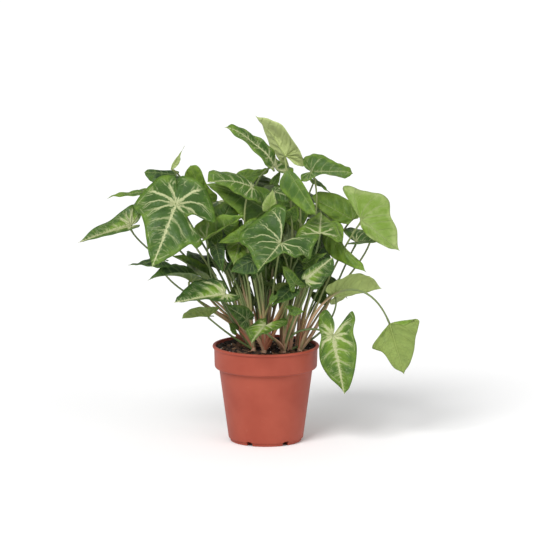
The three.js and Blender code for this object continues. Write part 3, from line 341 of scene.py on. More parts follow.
# The pattern of a blade's veins, in midrib lengths: side veins leave the midrib at a slope and
# curve towards the tip, and lobe veins fan out behind the first pair.
VEIN_SPACING = 0.21
VEIN_SLOPE = 0.42
VEIN_CURVE = 0.95
FIRST_VEIN_ANGLE = math.atan2(1, VEIN_SLOPE)
LOBE_VEIN_STEP = math.radians(30)

# The fine blade, in millimetres unless a comment says otherwise.
OUTLINE_STEP = 0.035  # midrib lengths
RINGS = 16
BLADE_THICKNESS = 0.5
MARGIN_THICKNESS = 0.3
CREASE = 0.03  # midrib lengths
QUILT_DEPTH = 0.024  # midrib lengths
QUILT_POWER = 1.3
QUILT_EASE = 0.1  # how far from the midrib the quilting is full, in midrib lengths
RIPPLE_DEPTH = 0.03  # midrib lengths
RIPPLE_RATE = 5.5  # radians a point of the outline
RIPPLE_SLOWING = 2.3  # how much slower the second ripple is
RIPPLE_EASE = 0.05  # how far from the midrib the ripples are full, in midrib lengths
SWAY_DEPTH = 0.055  # midrib lengths
SWAY_RATES = (7, 6, 4, 9)  # radians a midrib length
SWAY_EASE = 9  # how fast the sway sets in away from the notch
COARSE_SKIPS = (4, 7)  # the points of the usual outline that small leaves leave out
RIB_RADIUS = 1.1
RIB_WIDTH = 1.0
RIB_START, RIB_TAPER = -0.02, 0.85  # midrib lengths; how much of the rib is gone at the tip
GROOVE_DEPTH = 0.35


# ---------------------------------------------------------------- mesh building

def new_object(name, points, faces):
    """An object in the scene, from points in millimetres and faces."""
    mesh = bpy.data.meshes.new(name)
    mesh.from_pydata((np.array(points) * MM).tolist(), [], faces)
    made = bpy.data.objects.new(name, mesh)
    bpy.context.scene.collection.objects.link(made)
    return made


class Builder:
    """Collects parts of one mesh: points in millimetres, faces, a material index and values."""

    def __init__(self):
        self.points, self.faces, self.indices, self.flat, self.look = [], [], [], [], []
        self.count = 0

    def add(self, points, faces, index=0, flat=(0, 0, 0), look=(0, 0, 0)):
        points = np.asarray(points, float)
        self.points.append(points)
        self.faces += [[self.count + corner for corner in face] for face in faces]
        self.indices += [index] * len(faces) if np.isscalar(index) else list(index)
        for store, values in ((self.flat, flat), (self.look, look)):
            store.append(np.broadcast_to(np.asarray(values, float), points.shape))
        self.count += len(points)

    def piece(self, name, materials, slot, nodes):
        """Makes the object, which rides on the root and stands for CAD nodes."""
        made = new_object(name, np.concatenate(self.points), self.faces)
        mesh = made.data
        for label, store in (("flat", self.flat), ("look", self.look)):
            layer = mesh.attributes.new(label, "FLOAT_VECTOR", "POINT")
            layer.data.foreach_set("vector", np.concatenate(store).astype(np.float32).ravel())
        for material in materials:
            mesh.materials.append(material)
        mesh.polygons.foreach_set("material_index", self.indices)
        mesh.polygons.foreach_set("use_smooth", [True] * len(mesh.polygons))
        mesh.validate()
        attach(made, ROOT)
        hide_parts(*nodes)
        return made


def unit(v):
    """A vector of length 1."""
    return v / np.linalg.norm(v)


def spline(points, step):
    """A centripetal Catmull-Rom curve through points; the first and last only steer it.

    Returns the points on it and, for each, its place between the steered points."""
    points = np.array(points, float)
    gaps = np.sqrt(np.linalg.norm(np.diff(points, axis=0), axis=1)) + 1e-6
    found, places = [], []
    for i in range(1, len(points) - 2):
        before, here, there, after = points[i - 1:i + 3]
        a, b, c = gaps[i - 1:i + 2]
        out = b * ((here - before) / a - (there - before) / (a + b) + (there - here) / b)
        into = b * ((there - here) / b - (after - here) / (b + c) + (after - there) / c)
        count = max(2, math.ceil(np.linalg.norm(there - here) / step))
        for k in range(count):
            t = k / count
            found.append((2 * t**3 - 3 * t**2 + 1) * here + (t**3 - 2 * t**2 + t) * out
                         + (3 * t**2 - 2 * t**3) * there + (t**3 - t**2) * into)
            places.append(i - 1 + t)
    return np.array(found), np.array(places)


# ---------------------------------------------------------------- leaves

def usual_edge(shape):
    """One half of the usual outline, from the tip to the notch, in midrib lengths."""
    lobe = shape["lobe"]
    points = [(0.9, 0.09), (0.66, 0.44), (0.36, 0.82), (0.1, 1), (-0.4 * lobe, 0.93),
              (-0.82 * lobe, 0.8), (-lobe, 0.56), (-0.72 * lobe, 0.28), (-0.25 * lobe, 0.07)]
    return [(x, y * shape["wide"]) for x, y in points]


def arc(x, bend):
    """Where a point x along a rib that bends by an angle a length lies: along it and out of it."""
    bend = np.where(np.abs(bend) < 1e-4, 1e-4, bend)
    return np.sin(bend * x) / bend, (np.cos(bend * x) - 1) / bend


class Leaf:
    """A leaf of the table: its axes, its bent surface and its petiole's end."""

    def __init__(self, name, plant, base, tip, face, finish, shape):
        self.name, self.plant, self.finish, self.shape = name, plant, finish, shape
        self.base = np.array(base, float)
        chord = np.array(tip, float) - self.base
        self.along = unit(chord)
        face = np.array(face, float)
        self.out = unit(face - (face @ self.along) * self.along)
        self.left = np.cross(self.out, self.along)
        self.bow = math.radians(shape.get("bow", 0))
        tip_along, tip_out = arc(1, self.bow)
        self.lean = math.atan2(tip_out, tip_along)
        self.length = float(np.linalg.norm(chord) / math.hypot(tip_along, tip_out))
        self.notch_out = self.out * math.cos(self.lean) + self.along * math.sin(self.lean)
        self.notch_along = self.along * math.cos(self.lean) - self.out * math.sin(self.lean)
        self.small = not name.startswith("leaf")
        self.look = {**FINISH_LOOKS[finish], **LEAF_LOOKS.get(name, {})}
        self.random = random.Random(name)

    def place(self, x, y, lift):
        """Points of the flat blade, in midrib lengths, placed on the bent one."""
        bend = np.where(x < 0, math.radians(self.shape.get("hang", 0)) / LOBE_SHARE, self.bow)
        along_rib, out_rib = arc(x, bend)
        slope = bend * x
        left = math.radians(self.shape.get("left", 0))
        right = math.radians(self.shape.get("right", 0))
        rise = np.where(y > 0, left, right) - MARGIN_DROOP * np.abs(y)
        softened = np.sqrt(y * y + CREASE**2) - CREASE
        above = softened * np.sin(rise) + lift
        across = y * np.cos(rise)
        px = along_rib + above * np.sin(slope)
        pz = out_rib + above * np.cos(slope)
        u = px * math.cos(self.lean) + pz * math.sin(self.lean)
        w = pz * math.cos(self.lean) - px * math.sin(self.lean)
        return (self.base + np.outer(u, self.along) * self.length
                + np.outer(across, self.left) * self.length
                + np.outer(w, self.out) * self.length)

    def half_outline(self, side):
        """One half's smooth edge from the tip to the notch, and each point's place on it."""
        coarse = self.length < SMALL_BLADE
        edge = [(x / 100, y / 100) for x, y in self.shape.get(side + "_edge", ())]
        if not edge:
            edge = [p for i, p in enumerate(usual_edge(self.shape))
                    if not (coarse and i in COARSE_SKIPS)]
        tip_guide = (2 - edge[0][0], edge[0][1])
        notch_guide = (-edge[-1][0], -edge[-1][1])
        return spline([tip_guide, (1, 0), *edge, (0, 0), notch_guide], OUTLINE_STEP)


def vein_phase(x, y):
    """How far a point is from the nearest side or lobe vein: 0 on one, 1 midway between two."""
    away = np.abs(y)
    side = (x - VEIN_SLOPE * away - VEIN_CURVE * away * away) / VEIN_SPACING
    angle = (np.arctan2(away, x) - FIRST_VEIN_ANGLE) / LOBE_VEIN_STEP
    phase = np.where(side > 0, side, angle)
    return 2 * np.abs(phase + 0.5 - np.floor(phase + 0.5) - 0.5)


def blade_faces(rays, rings):
    """Faces of a fan of rays that all leave point 0."""
    faces = []
    for ray in range(rays - 1):
        a, b = 1 + ray * rings, 1 + (ray + 1) * rings
        faces.append([0, a, b])
        faces += [[a + k, a + k + 1, b + k + 1, b + k] for k in range(rings - 1)]
    return faces


def blade_relief(leaf, x, y, ring, place):
    """The lift of each point, in midrib lengths: quilting, sway, ripples and the table's wave."""
    seeds = [leaf.random.uniform(0, 6) for _ in range(5)]
    quilt = QUILT_DEPTH * leaf.look.get("quilt", 1) * vein_phase(x, y) ** QUILT_POWER
    quilt = quilt * np.clip(np.abs(y) / QUILT_EASE, 0, 1) * (1 - ring**4)
    a, b, c, d = SWAY_RATES
    sway = np.sin(a * x + seeds[0]) * np.sin(b * y + seeds[1]) + np.sin(c * x + d * y + seeds[2])
    sway = SWAY_DEPTH / 2 * sway * (1 - np.exp(-SWAY_EASE * (x * x + y * y)))
    ripple = (np.sin(place * RIPPLE_RATE + seeds[3])
              + np.sin(place * RIPPLE_RATE / RIPPLE_SLOWING + seeds[4]))
    ripple = RIPPLE_DEPTH / 2 * ripple * ring**3
    wave = leaf.shape.get("wave", 0) * np.sin(place * WAVE_STEP) * ring**2
    return quilt + sway + (ripple + wave) * np.clip(np.abs(y) / RIPPLE_EASE, 0, 1)


def shell(faces, rim, count):
    """The faces of a sheet's two sides and of its border, from one side's faces and its rim.

    The points of the other side come count places later."""
    turned = [[corner + count for corner in face[::-1]] for face in faces]
    border = [[a + count, b + count, b, a] for a, b in zip(rim, rim[1:] + rim[:1])]
    return faces + turned + border


def add_blade(builder, leaf):
    """Adds a fine blade: an upper face (material 0), an underside (material 1) and its margin."""
    left, left_places = leaf.half_outline("left")
    right, right_places = leaf.half_outline("right")
    edge = np.concatenate([right[::-1] * (1, -1), left[1:]])
    places = np.concatenate([-right_places[::-1], left_places[1:]])
    rings = RINGS if leaf.length > SMALL_BLADE / 2 else RINGS // 2
    shares = np.arange(1, rings + 1) / rings
    x = np.concatenate([[0], np.outer(edge[:, 0], shares).ravel()])
    y = np.concatenate([[0], np.outer(edge[:, 1], shares).ravel()])
    ring = np.concatenate([[0], np.tile(shares, len(edge))])
    place = np.concatenate([[0], np.repeat(places, rings)])
    middle = leaf.place(x, y, blade_relief(leaf, x, y, ring, place))
    faces = blade_faces(len(edge), rings)
    normals = np.zeros_like(middle)
    for face in faces:
        a, b, c = middle[face[0]], middle[face[1]], middle[face[2]]
        normals[face] += np.cross(b - a, c - a)
    normals /= np.linalg.norm(normals, axis=1)[:, None] + 1e-12
    half = (BLADE_THICKNESS + (MARGIN_THICKNESS - BLADE_THICKNESS) * ring)[:, None] / 2
    across = np.abs(y) * leaf.length
    on_rib = np.exp(-(across / RIB_WIDTH) ** 2) * (x > RIB_START)
    on_rib = on_rib * (1 - RIB_TAPER * np.clip(x, 0, 1)) * min(1, leaf.length / SMALL_BLADE)
    on_rib = on_rib[:, None]
    upper = middle + normals * (half - GROOVE_DEPTH * on_rib)
    under = middle - normals * (half + RIB_RADIUS * on_rib)
    count, last = len(middle), len(edge) * rings
    rim = [*range(rings), *range(rings, last + 1, rings), *range(last - 1, last - rings, -1)]
    flat = np.stack([x, y, ring + 2 * math.floor(leaf.random.uniform(0, 40))], 1)
    builder.add(np.concatenate([upper, under]), shell(faces, rim, count),
                [0] * len(faces) + [1] * len(faces) + [0] * len(rim),
                flat=np.concatenate([flat, flat]),
                look=(leaf.look["cream"], leaf.look["tone"], leaf.look["spread"]))


# ---------------------------------------------------------------- petioles

CURVE_POINTS = 201


def petiole_curve(leaf, bend):
    """A petiole's centre line from its crown to the underside of the notch, as dense points."""
    x, y = CROWNS[leaf.plant]
    start = np.array([x, y, CROWN_TOP - PETIOLE_BASE_RADIUS], float)
    way = leaf.base - start
    reach = np.linalg.norm(way)
    arrival = unit(unit(way) * END_WAY_SHARE + leaf.notch_out * END_OUT_SHARE)
    tilt = math.sqrt(max(0, 1 - (arrival @ leaf.notch_out) ** 2))
    sunk = CAD_BLADE_THICKNESS / 2 + PETIOLE_END_GAP + PETIOLE_TIP_RADIUS * tilt
    if leaf.small:
        sunk = -SMALL_LEAF_SINK
    end = leaf.base - leaf.notch_out * sunk + leaf.notch_along * PETIOLE_TIP_RADIUS
    climb = max(way[2] * START_RISE, LEAST_RISE)
    first = start + (way[0] * START_LEAN, way[1] * START_LEAN, climb)
    second = end - arrival * END_REACH * reach
    if "via" in leaf.shape:
        first, second = (np.array(point, float) for point in leaf.shape["via"])
    first = first + bend
    second = second + bend * (1 - END_REACH)
    t = np.linspace(0, 1, CURVE_POINTS)[:, None]
    return ((1 - t)**3 * start + 3 * (1 - t)**2 * t * first
            + 3 * (1 - t) * t**2 * second + t**3 * end)


def ways(curve):
    """How far along a dense curve each of its points lies."""
    return np.concatenate([[0], np.cumsum(np.linalg.norm(np.diff(curve, axis=0), axis=1))])


def evenly(curve, steps):
    """Points an equal way apart along a dense curve."""
    gone = ways(curve)
    wanted = np.linspace(0, gone[-1], steps + 1)
    return np.stack([np.interp(wanted, gone, curve[:, k]) for k in range(3)], 1)


def petiole_radius(share):
    """A petiole's radius, which falls fast in its foot and slowly above."""
    if share < PETIOLE_FOOT_SHARE:
        mix = share / PETIOLE_FOOT_SHARE
        return PETIOLE_BASE_RADIUS + (PETIOLE_RADIUS - PETIOLE_BASE_RADIUS) * mix
    mix = (share - PETIOLE_FOOT_SHARE) / (1 - PETIOLE_FOOT_SHARE)
    return PETIOLE_RADIUS + (PETIOLE_TIP_RADIUS - PETIOLE_RADIUS) * mix


BENDS = [np.zeros(3)] + [
    np.array([math.cos(angle) * size, math.sin(angle) * size, 0])
    for size in range(BEND_STEP, BEND_LIMIT + 1, BEND_STEP)
    for angle in (2 * math.pi * turn / BEND_TURNS for turn in range(BEND_TURNS))
]


def node_tree(node):
    """The corners of a CAD node, in millimetres, as a tree to search."""
    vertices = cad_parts[node].data.vertices
    tree = kdtree.KDTree(len(vertices))
    for i, vertex in enumerate(vertices):
        tree.insert(vertex.co / MM, i)
    tree.balance()
    return tree


def routed_curve(leaf, tree):
    """The curve whose rings of corners the CAD stem has: its sideways bend is found from them."""
    steps = ARCH_STEPS if "via" in leaf.shape else PETIOLE_STEPS
    best, best_miss = None, math.inf
    for bend in BENDS:
        curve = petiole_curve(leaf, bend)
        points = evenly(curve, steps)
        miss = sum(abs(tree.find(Vector(points[k]))[2] - petiole_radius(k / steps))
                   for k in range(1, steps))
        if miss < best_miss:
            best, best_miss = curve, miss
    return best


def frames(line, aside):
    """Two directions across a line at each of its points, carried along without a twist."""
    heading = np.gradient(line, axis=0)
    heading /= np.linalg.norm(heading, axis=1)[:, None]
    normal = unit(np.cross(heading[0], aside))
    for way in heading:
        normal = unit(normal - (normal @ way) * way)
        yield normal, np.cross(way, normal)


def tube_rings(curve, steps, sides, radius_at, squash=1.0):
    """Rings of points round a curve."""
    line = evenly(curve, steps)
    angles = 2 * math.pi * np.arange(sides) / sides
    rings = []
    for k, (normal, side) in enumerate(frames(line, (0.37, 1, 0.11))):
        radius = radius_at(k / steps)
        rings.append(line[k] + np.outer(np.cos(angles) * radius, normal)
                     + np.outer(np.sin(angles) * radius * squash, side))
    return np.concatenate(rings)


def tube_faces(rings, sides):
    """The side quads and the two ends of a tube."""
    faces = []
    for k in range(rings - 1):
        for j in range(sides):
            a, b = k * sides + j, k * sides + (j + 1) % sides
            faces.append([a, b, b + sides, a + sides])
    faces.append(list(range(sides))[::-1])
    faces.append([(rings - 1) * sides + j for j in range(sides)])
    return faces


FINE_STEPS = 28
FINE_SIDES = 10
SHEATH_STEPS = 16
SHEATH_ARC = 8
SHEATH_THICKNESS = 0.35
SHEATH_LENGTH = (28, 78)
SHEATH_SPAN = math.radians(250)
SHEATH_RADIUS = 2.4
SHEATH_TAPER = 0.85
SHEATH_FLARE = (0.1, 0.7)
SHEATH_RUFFLE = 0.12
SHEATH_RUFFLES = 9  # ruffles a radian
SHEATH_POWER = 0.7  # how a sheath's span narrows along it
SHEATH_LEAST = 0.25  # the span at its point, in radians
SHEATH_SHARE = 0.3  # how far up a petiole's colours a sheath goes
PETIOLE_SINK = 6  # how far a petiole goes down into its crown
PETIOLE_TUCK = 0.2  # how far its end stays under the notch
PETIOLE_FULLNESS = 1.05  # its radius beside the CAD petiole's
PETIOLE_SQUASH = 0.88
KNEE_SWELL = 0.35  # how much thicker a petiole is just under its blade
KNEE_PLACE, KNEE_WIDTH = 0.97, 0.03  # shares of its length
CROWN_RINGS = 9
CROWN_SIDES = 14
CROWN_RAISE = (4, 1)  # how far the fine crown's bottom and top lie above the CAD crown's
CROWN_NARROWING = 0.35
DRY = (1, 0, 0)  # tells stem_material that a surface is papery


def add_petiole(builder, leaf, curve, tone):
    """A fine petiole, a little swollen at its foot and just under the blade."""
    end = leaf.base - leaf.notch_out * PETIOLE_TUCK
    curve = np.vstack([curve[0] - (0, 0, PETIOLE_SINK), curve, end])

    def radius_at(share):
        knee = KNEE_SWELL * math.exp(-((share - KNEE_PLACE) / KNEE_WIDTH) ** 2)
        return petiole_radius(share) * (PETIOLE_FULLNESS + knee * (not leaf.small))

    points = tube_rings(curve, FINE_STEPS, FINE_SIDES, radius_at, PETIOLE_SQUASH)
    shares = np.repeat(np.linspace(0, 1, FINE_STEPS + 1), FINE_SIDES)
    turns = np.tile(np.arange(FINE_SIDES) / FINE_SIDES, FINE_STEPS + 1)
    look = np.stack([shares, turns, np.full_like(shares, tone)], 1)
    builder.add(points, tube_faces(FINE_STEPS + 1, FINE_SIDES), look=look)


def add_sheath(builder, curve, rng, tone):
    """A papery sheath: a gutter that clasps the foot of a petiole and narrows to a point."""
    line = evenly(curve[ways(curve) < rng.uniform(*SHEATH_LENGTH)], SHEATH_STEPS)
    facing = rng.uniform(0, 2 * math.pi)
    flare = rng.uniform(*SHEATH_FLARE)
    outer, inner = [], []
    sides = frames(line, (math.sin(facing), math.cos(facing), 0.05))
    for k, (normal, side) in enumerate(sides):
        share = k / SHEATH_STEPS
        span = SHEATH_SPAN * (1 - share) ** SHEATH_POWER + SHEATH_LEAST
        angles = np.linspace(-span / 2, span / 2, SHEATH_ARC + 1)
        ruffled = SHEATH_RADIUS - SHEATH_TAPER * share + flare * share**3
        ruffled = ruffled + SHEATH_RUFFLE * np.sin(angles * SHEATH_RUFFLES + k)
        for store, r in ((outer, ruffled), (inner, ruffled - SHEATH_THICKNESS)):
            store.append(line[k] + np.outer(np.cos(angles) * r, normal)
                         + np.outer(np.sin(angles) * r, side))
    row = SHEATH_ARC + 1
    last = row * SHEATH_STEPS
    quads = [[a, a + 1, a + row + 1, a + row]
             for k in range(SHEATH_STEPS) for a in range(k * row, k * row + SHEATH_ARC)]
    rim = [*range(SHEATH_ARC), *range(SHEATH_ARC, last, row),
           *range(last + SHEATH_ARC, last, -1), *range(last, 0, -row)]
    shares = np.tile(np.repeat(np.linspace(0, SHEATH_SHARE, SHEATH_STEPS + 1), row), 2)
    turns = np.tile(np.linspace(0, 1, row), 2 * (SHEATH_STEPS + 1))
    look = np.stack([shares, turns, np.full_like(shares, tone)], 1)
    builder.add(np.vstack(outer + inner), shell(quads, rim, last + row), look=look, flat=DRY)


def add_crown(builder, plant):
    """The short stub of a plantlet, sunk in the soil."""
    bottom, top = CROWN_BOTTOM + CROWN_RAISE[0], CROWN_TOP + CROWN_RAISE[1]
    line = np.array([(*CROWNS[plant], z) for z in np.linspace(bottom, top, CROWN_RINGS)])
    points = tube_rings(line, CROWN_RINGS - 1, CROWN_SIDES,
                        lambda share: CROWN_RADIUS * (1 - CROWN_NARROWING * share**6))
    look = [(0, j / CROWN_SIDES, 0.5) for _ in range(CROWN_RINGS) for j in range(CROWN_SIDES)]
    builder.add(points, tube_faces(CROWN_RINGS, CROWN_SIDES), look=look, flat=DRY)


# ---------------------------------------------------------------- pot and soil

def lathe(profile, sides):
    """A surface of revolution from a half-section that starts and ends on the axis.

    A height in it may be a function of x and y."""
    points, faces = [], []
    for row, (radius, height) in enumerate(profile):
        for j in range(sides if 0 < row < len(profile) - 1 else 1):
            angle = 2 * math.pi * j / sides
            x, y = radius * math.cos(angle), radius * math.sin(angle)
            points.append((x, y, height(x, y) if callable(height) else height))
    last = 1 + (len(profile) - 3) * sides
    for j in range(sides):
        n = (j + 1) % sides
        faces.append([0, 1 + n, 1 + j])
        faces += [[a + j, a + n, a + n + sides, a + j + sides] for a in range(1, last, sides)]
        faces.append([last + j, last + n, len(points) - 1])
    return np.array(points), faces


MOST_CUT = 0.48  # the share of an edge that a rounded corner may take


def rounded(profile, steps=5):
    """A profile of radii and heights, each corner rounded by its third number, as far as fits."""
    points = [np.array(row[:2], float) for row in profile]
    found = [points[0]]
    for i in range(1, len(points) - 1):
        here = points[i]
        before, after = points[i - 1] - here, points[i + 1] - here
        near, far = np.linalg.norm(before), np.linalg.norm(after)
        cut = min(profile[i][2], near * MOST_CUT, far * MOST_CUT)
        if cut == 0:
            found.append(here)
            continue
        start, end = here + before / near * cut, here + after / far * cut
        for k in range(steps + 1):
            t = k / steps
            found.append((1 - t)**2 * start + 2 * t * (1 - t) * here + t**2 * end)
    return found + [points[-1]]


POT_FINE_SIDES = 160
FOOT_RING = 3.6
FOOT_INSET = 1.7
LEDGE_OUT, LEDGE_UP = 0.2, 0.3  # the ledge above the foot ring
BORE_RADIUS = COLLAR_RADIUS - WALL - WALL_DRAFT
DRAIN_CORNERS = ((0, 1.2), (0.5, 0.3), (1.4, 0))  # how far in and down the arch's corners lie
SHARPEST_SMOOTH = math.radians(35)


def make_pot(material):
    """The thin-walled pot: lip, collar, stepped shoulder, tapered body, foot and drain notches."""
    floor_top = CHANNEL_HEIGHT + FLOOR
    foot = FOOT_RADIUS - FOOT_INSET
    profile = [
        (0, 0, 0),
        (CHANNEL_INNER_RADIUS - POT_EDGE, 0, 0.5),
        (CHANNEL_INNER_RADIUS, CHANNEL_HEIGHT, 0.5),
        (CHANNEL_OUTER_RADIUS, CHANNEL_HEIGHT, 0.5),
        (CHANNEL_OUTER_RADIUS + POT_EDGE, 0, 0.5),
        (foot - POT_EDGE, 0, 0.5),
        (foot, POT_EDGE, 0.5),
        (foot, FOOT_RING, 0.1),
        (FOOT_RADIUS + LEDGE_OUT, FOOT_RING + LEDGE_UP, 0.2),
        (SHOULDER_RADIUS, SHOULDER_HEIGHT, 0.5),
        (COLLAR_RADIUS - 2 * POT_EDGE, SHOULDER_HEIGHT + STEP_RISE / 2, 1.8),
        (COLLAR_RADIUS - POT_EDGE, SHOULDER_HEIGHT + STEP_RISE, 2.5),
        (COLLAR_RADIUS, POT_HEIGHT - LIP_DEPTH - POT_EDGE, 0.5),
        (LIP_RADIUS - POT_EDGE / 2, POT_HEIGHT - LIP_DEPTH, 0.6),
        (LIP_RADIUS, POT_HEIGHT - LIP_DEPTH / 2, 0.6),
        (LIP_RADIUS - POT_EDGE, POT_HEIGHT, 0.7),
        (COLLAR_RADIUS - WALL, POT_HEIGHT, 0.6),
        (BORE_RADIUS, SHOULDER_HEIGHT + STEP_RISE, 1.5),
        (SHOULDER_RADIUS - WALL, SHOULDER_HEIGHT, 2),
        (FOOT_RADIUS - WALL + POT_EDGE, floor_top, 1.5),
        (CHANNEL_INNER_RADIUS - POT_EDGE, floor_top, 0),
        (CHANNEL_INNER_RADIUS - WALL, FLOOR, 0),
        (0, FLOOR, 0),
    ]
    builder = Builder()
    builder.add(*lathe(rounded(profile), POT_FINE_SIDES))
    pot = builder.piece("nursery_pot", [material], "pot", ["pot"])
    cut_out(pot, [drain_cutter(math.radians(DRAIN_ANGLE - 90 + i * 360 / DRAIN_COUNT))
                  for i in range(DRAIN_COUNT)])
    pot.data.materials.clear()
    pot.data.materials.append(material)
    pot.data.polygons.foreach_set("use_smooth", [True] * len(pot.data.polygons))
    pot.data.set_sharp_from_angle(angle=SHARPEST_SMOOTH)


def drain_cutter(angle):
    """An arched block that cuts one drain notch through the foot."""
    half, top = DRAIN_WIDTH / 2, DRAIN_HEIGHT
    arch = [(half, -DRAIN_OVERCUT), *((half - s, top - z) for s, z in DRAIN_CORNERS)]
    section = [(-half, -DRAIN_OVERCUT)] + arch + [(-s, z) for s, z in arch[:0:-1]]
    cos, sin = math.cos(angle), math.sin(angle)
    points = [(cos * out - sin * across, sin * out + cos * across, height)
              for out in (FOOT_RADIUS - DRAIN_DEPTH / 2, FOOT_RADIUS + DRAIN_DEPTH / 2)
              for across, height in section]
    n = len(section)
    faces = [list(range(n))[::-1], list(range(n, 2 * n))]
    faces += [[j, (j + 1) % n, n + (j + 1) % n, n + j] for j in range(n)]
    return new_object("drain_cutter", points, faces)


def cut_out(target, cutters):
    """Subtracts each cutter from the target's mesh and removes it."""
    for cutter in cutters:
        modifier = target.modifiers.new("cut", "BOOLEAN")
        modifier.operation, modifier.solver, modifier.object = "DIFFERENCE", "EXACT", cutter
    bpy.context.view_layer.update()
    depsgraph = bpy.context.evaluated_depsgraph_get()
    mesh = bpy.data.meshes.new_from_object(target.evaluated_get(depsgraph))
    target.modifiers.clear()
    target.data = mesh
    for cutter in cutters:
        bpy.data.objects.remove(cutter)


SOIL_RINGS = 46
SOIL_SIDES = 150
SOIL_DROP = 0.4  # how far the fine soil lies under the CAD soil where it is even
SOIL_REACH = 54.5  # how far out loose bits lie
BIT_RATE = 1.7  # how fast a bit's bumps change
BIT_TILT = 0.5  # radians
SWELL, SWELL_RATE = 1.3, 0.045  # a slow swell: its height, and how fast it changes
LUMP, LUMP_RATE = 1.1, 0.22


def soil_top(x, y):
    """The height of the uneven soil at a point."""
    swell = noise.noise(Vector((x, y, 3)) * SWELL_RATE) * SWELL
    lumps = noise.fractal(Vector((x, y, 9)) * LUMP_RATE, 0.9, 2.1, 4) * LUMP
    past = math.hypot(x, y) - BORE_RADIUS + SOIL_EDGE_WIDTH + 2
    edge = min(1, max(0, past / SOIL_EDGE_WIDTH))
    return SOIL_HEIGHT - SOIL_DROP + swell + lumps + SOIL_EDGE_RISE * edge * edge * (3 - 2 * edge)


def make_soil(material):
    """The bed of compost, with an uneven top."""
    gap = SOIL_CLEARANCE
    floor_top = CHANNEL_HEIGHT + FLOOR + gap
    profile = [(BORE_RADIUS * k / SOIL_RINGS, soil_top) for k in range(SOIL_RINGS + 1)]
    profile += [(BORE_RADIUS - gap, SHOULDER_HEIGHT + STEP_RISE + gap),
                (SHOULDER_RADIUS - WALL - gap, SHOULDER_HEIGHT + gap),
                (FOOT_RADIUS - WALL, floor_top),
                (CHANNEL_INNER_RADIUS - POT_EDGE - gap, floor_top),
                (CHANNEL_INNER_RADIUS - WALL - gap, FLOOR + gap), (0, FLOOR + gap)]
    points, faces = lathe(profile, SOIL_SIDES)
    turned = [[face[0], *face[:0:-1]] for face in faces]
    builder = Builder()
    builder.add(points, turned, look=(0.5, 0, 0))
    builder.piece("compost", [material], "soil", ["soil"])


def lump_shape(subdivisions):
    """The corners and faces of a small ball."""
    ball = bmesh.new()
    bmesh.ops.create_icosphere(ball, subdivisions=subdivisions, radius=1)
    points = np.array([v.co[:] for v in ball.verts])
    faces = [[v.index for v in face.verts] for face in ball.faces]
    ball.free()
    return points, faces


def make_bits(name, bits):
    """Strews one kind of loose bit over the soil."""
    rng = random.Random(name)
    shape, faces = lump_shape(bits["fine"])
    builder = Builder()
    for _ in range(bits["count"]):
        size = rng.uniform(*bits["size"])
        radius = (SOIL_REACH - size * bits["long"][1]) * math.sqrt(rng.random())
        around = rng.uniform(0, 2 * math.pi)
        x, y = radius * math.cos(around), radius * math.sin(around)
        offset = Vector([rng.uniform(0, 90) for _ in range(3)])
        bumps = np.array([1 + 2 * bits["rough"] * noise.noise(Vector(p) * BIT_RATE + offset)
                          for p in shape])
        local = shape * bumps[:, None] * (rng.uniform(*bits["long"]), 1, rng.uniform(*bits["flat"]))
        tilt, turn = rng.uniform(-BIT_TILT, BIT_TILT), rng.uniform(0, 2 * math.pi)
        lean = np.array([[math.cos(tilt), 0, math.sin(tilt)], [0, 1, 0],
                         [-math.sin(tilt), 0, math.cos(tilt)]])
        spin = np.array([[math.cos(turn), -math.sin(turn), 0],
                         [math.sin(turn), math.cos(turn), 0], [0, 0, 1]])
        placed = local @ lean.T @ spin.T * size
        height = soil_top(x, y) + size * (0.5 - bits["sunk"])
        builder.add(placed + (x, y, height), faces, look=(rng.random(), 0, 0))
    builder.piece(name, [grain_material(*bits["paint"])], "soil", ["soil"])


# ---------------------------------------------------------------- materials

class Value:
    """A number, colour or vector of a material's node tree, to be reckoned with as usual."""

    def __init__(self, graph, socket):
        self.graph, self.socket = graph, socket

    def __add__(self, other):
        return self.graph.math("ADD", self, other)

    def __sub__(self, other):
        return self.graph.math("SUBTRACT", self, other)

    def __rsub__(self, other):
        return self.graph.math("SUBTRACT", other, self)

    def __mul__(self, other):
        return self.graph.math("MULTIPLY", self, other)

    __radd__, __rmul__ = __add__, __mul__


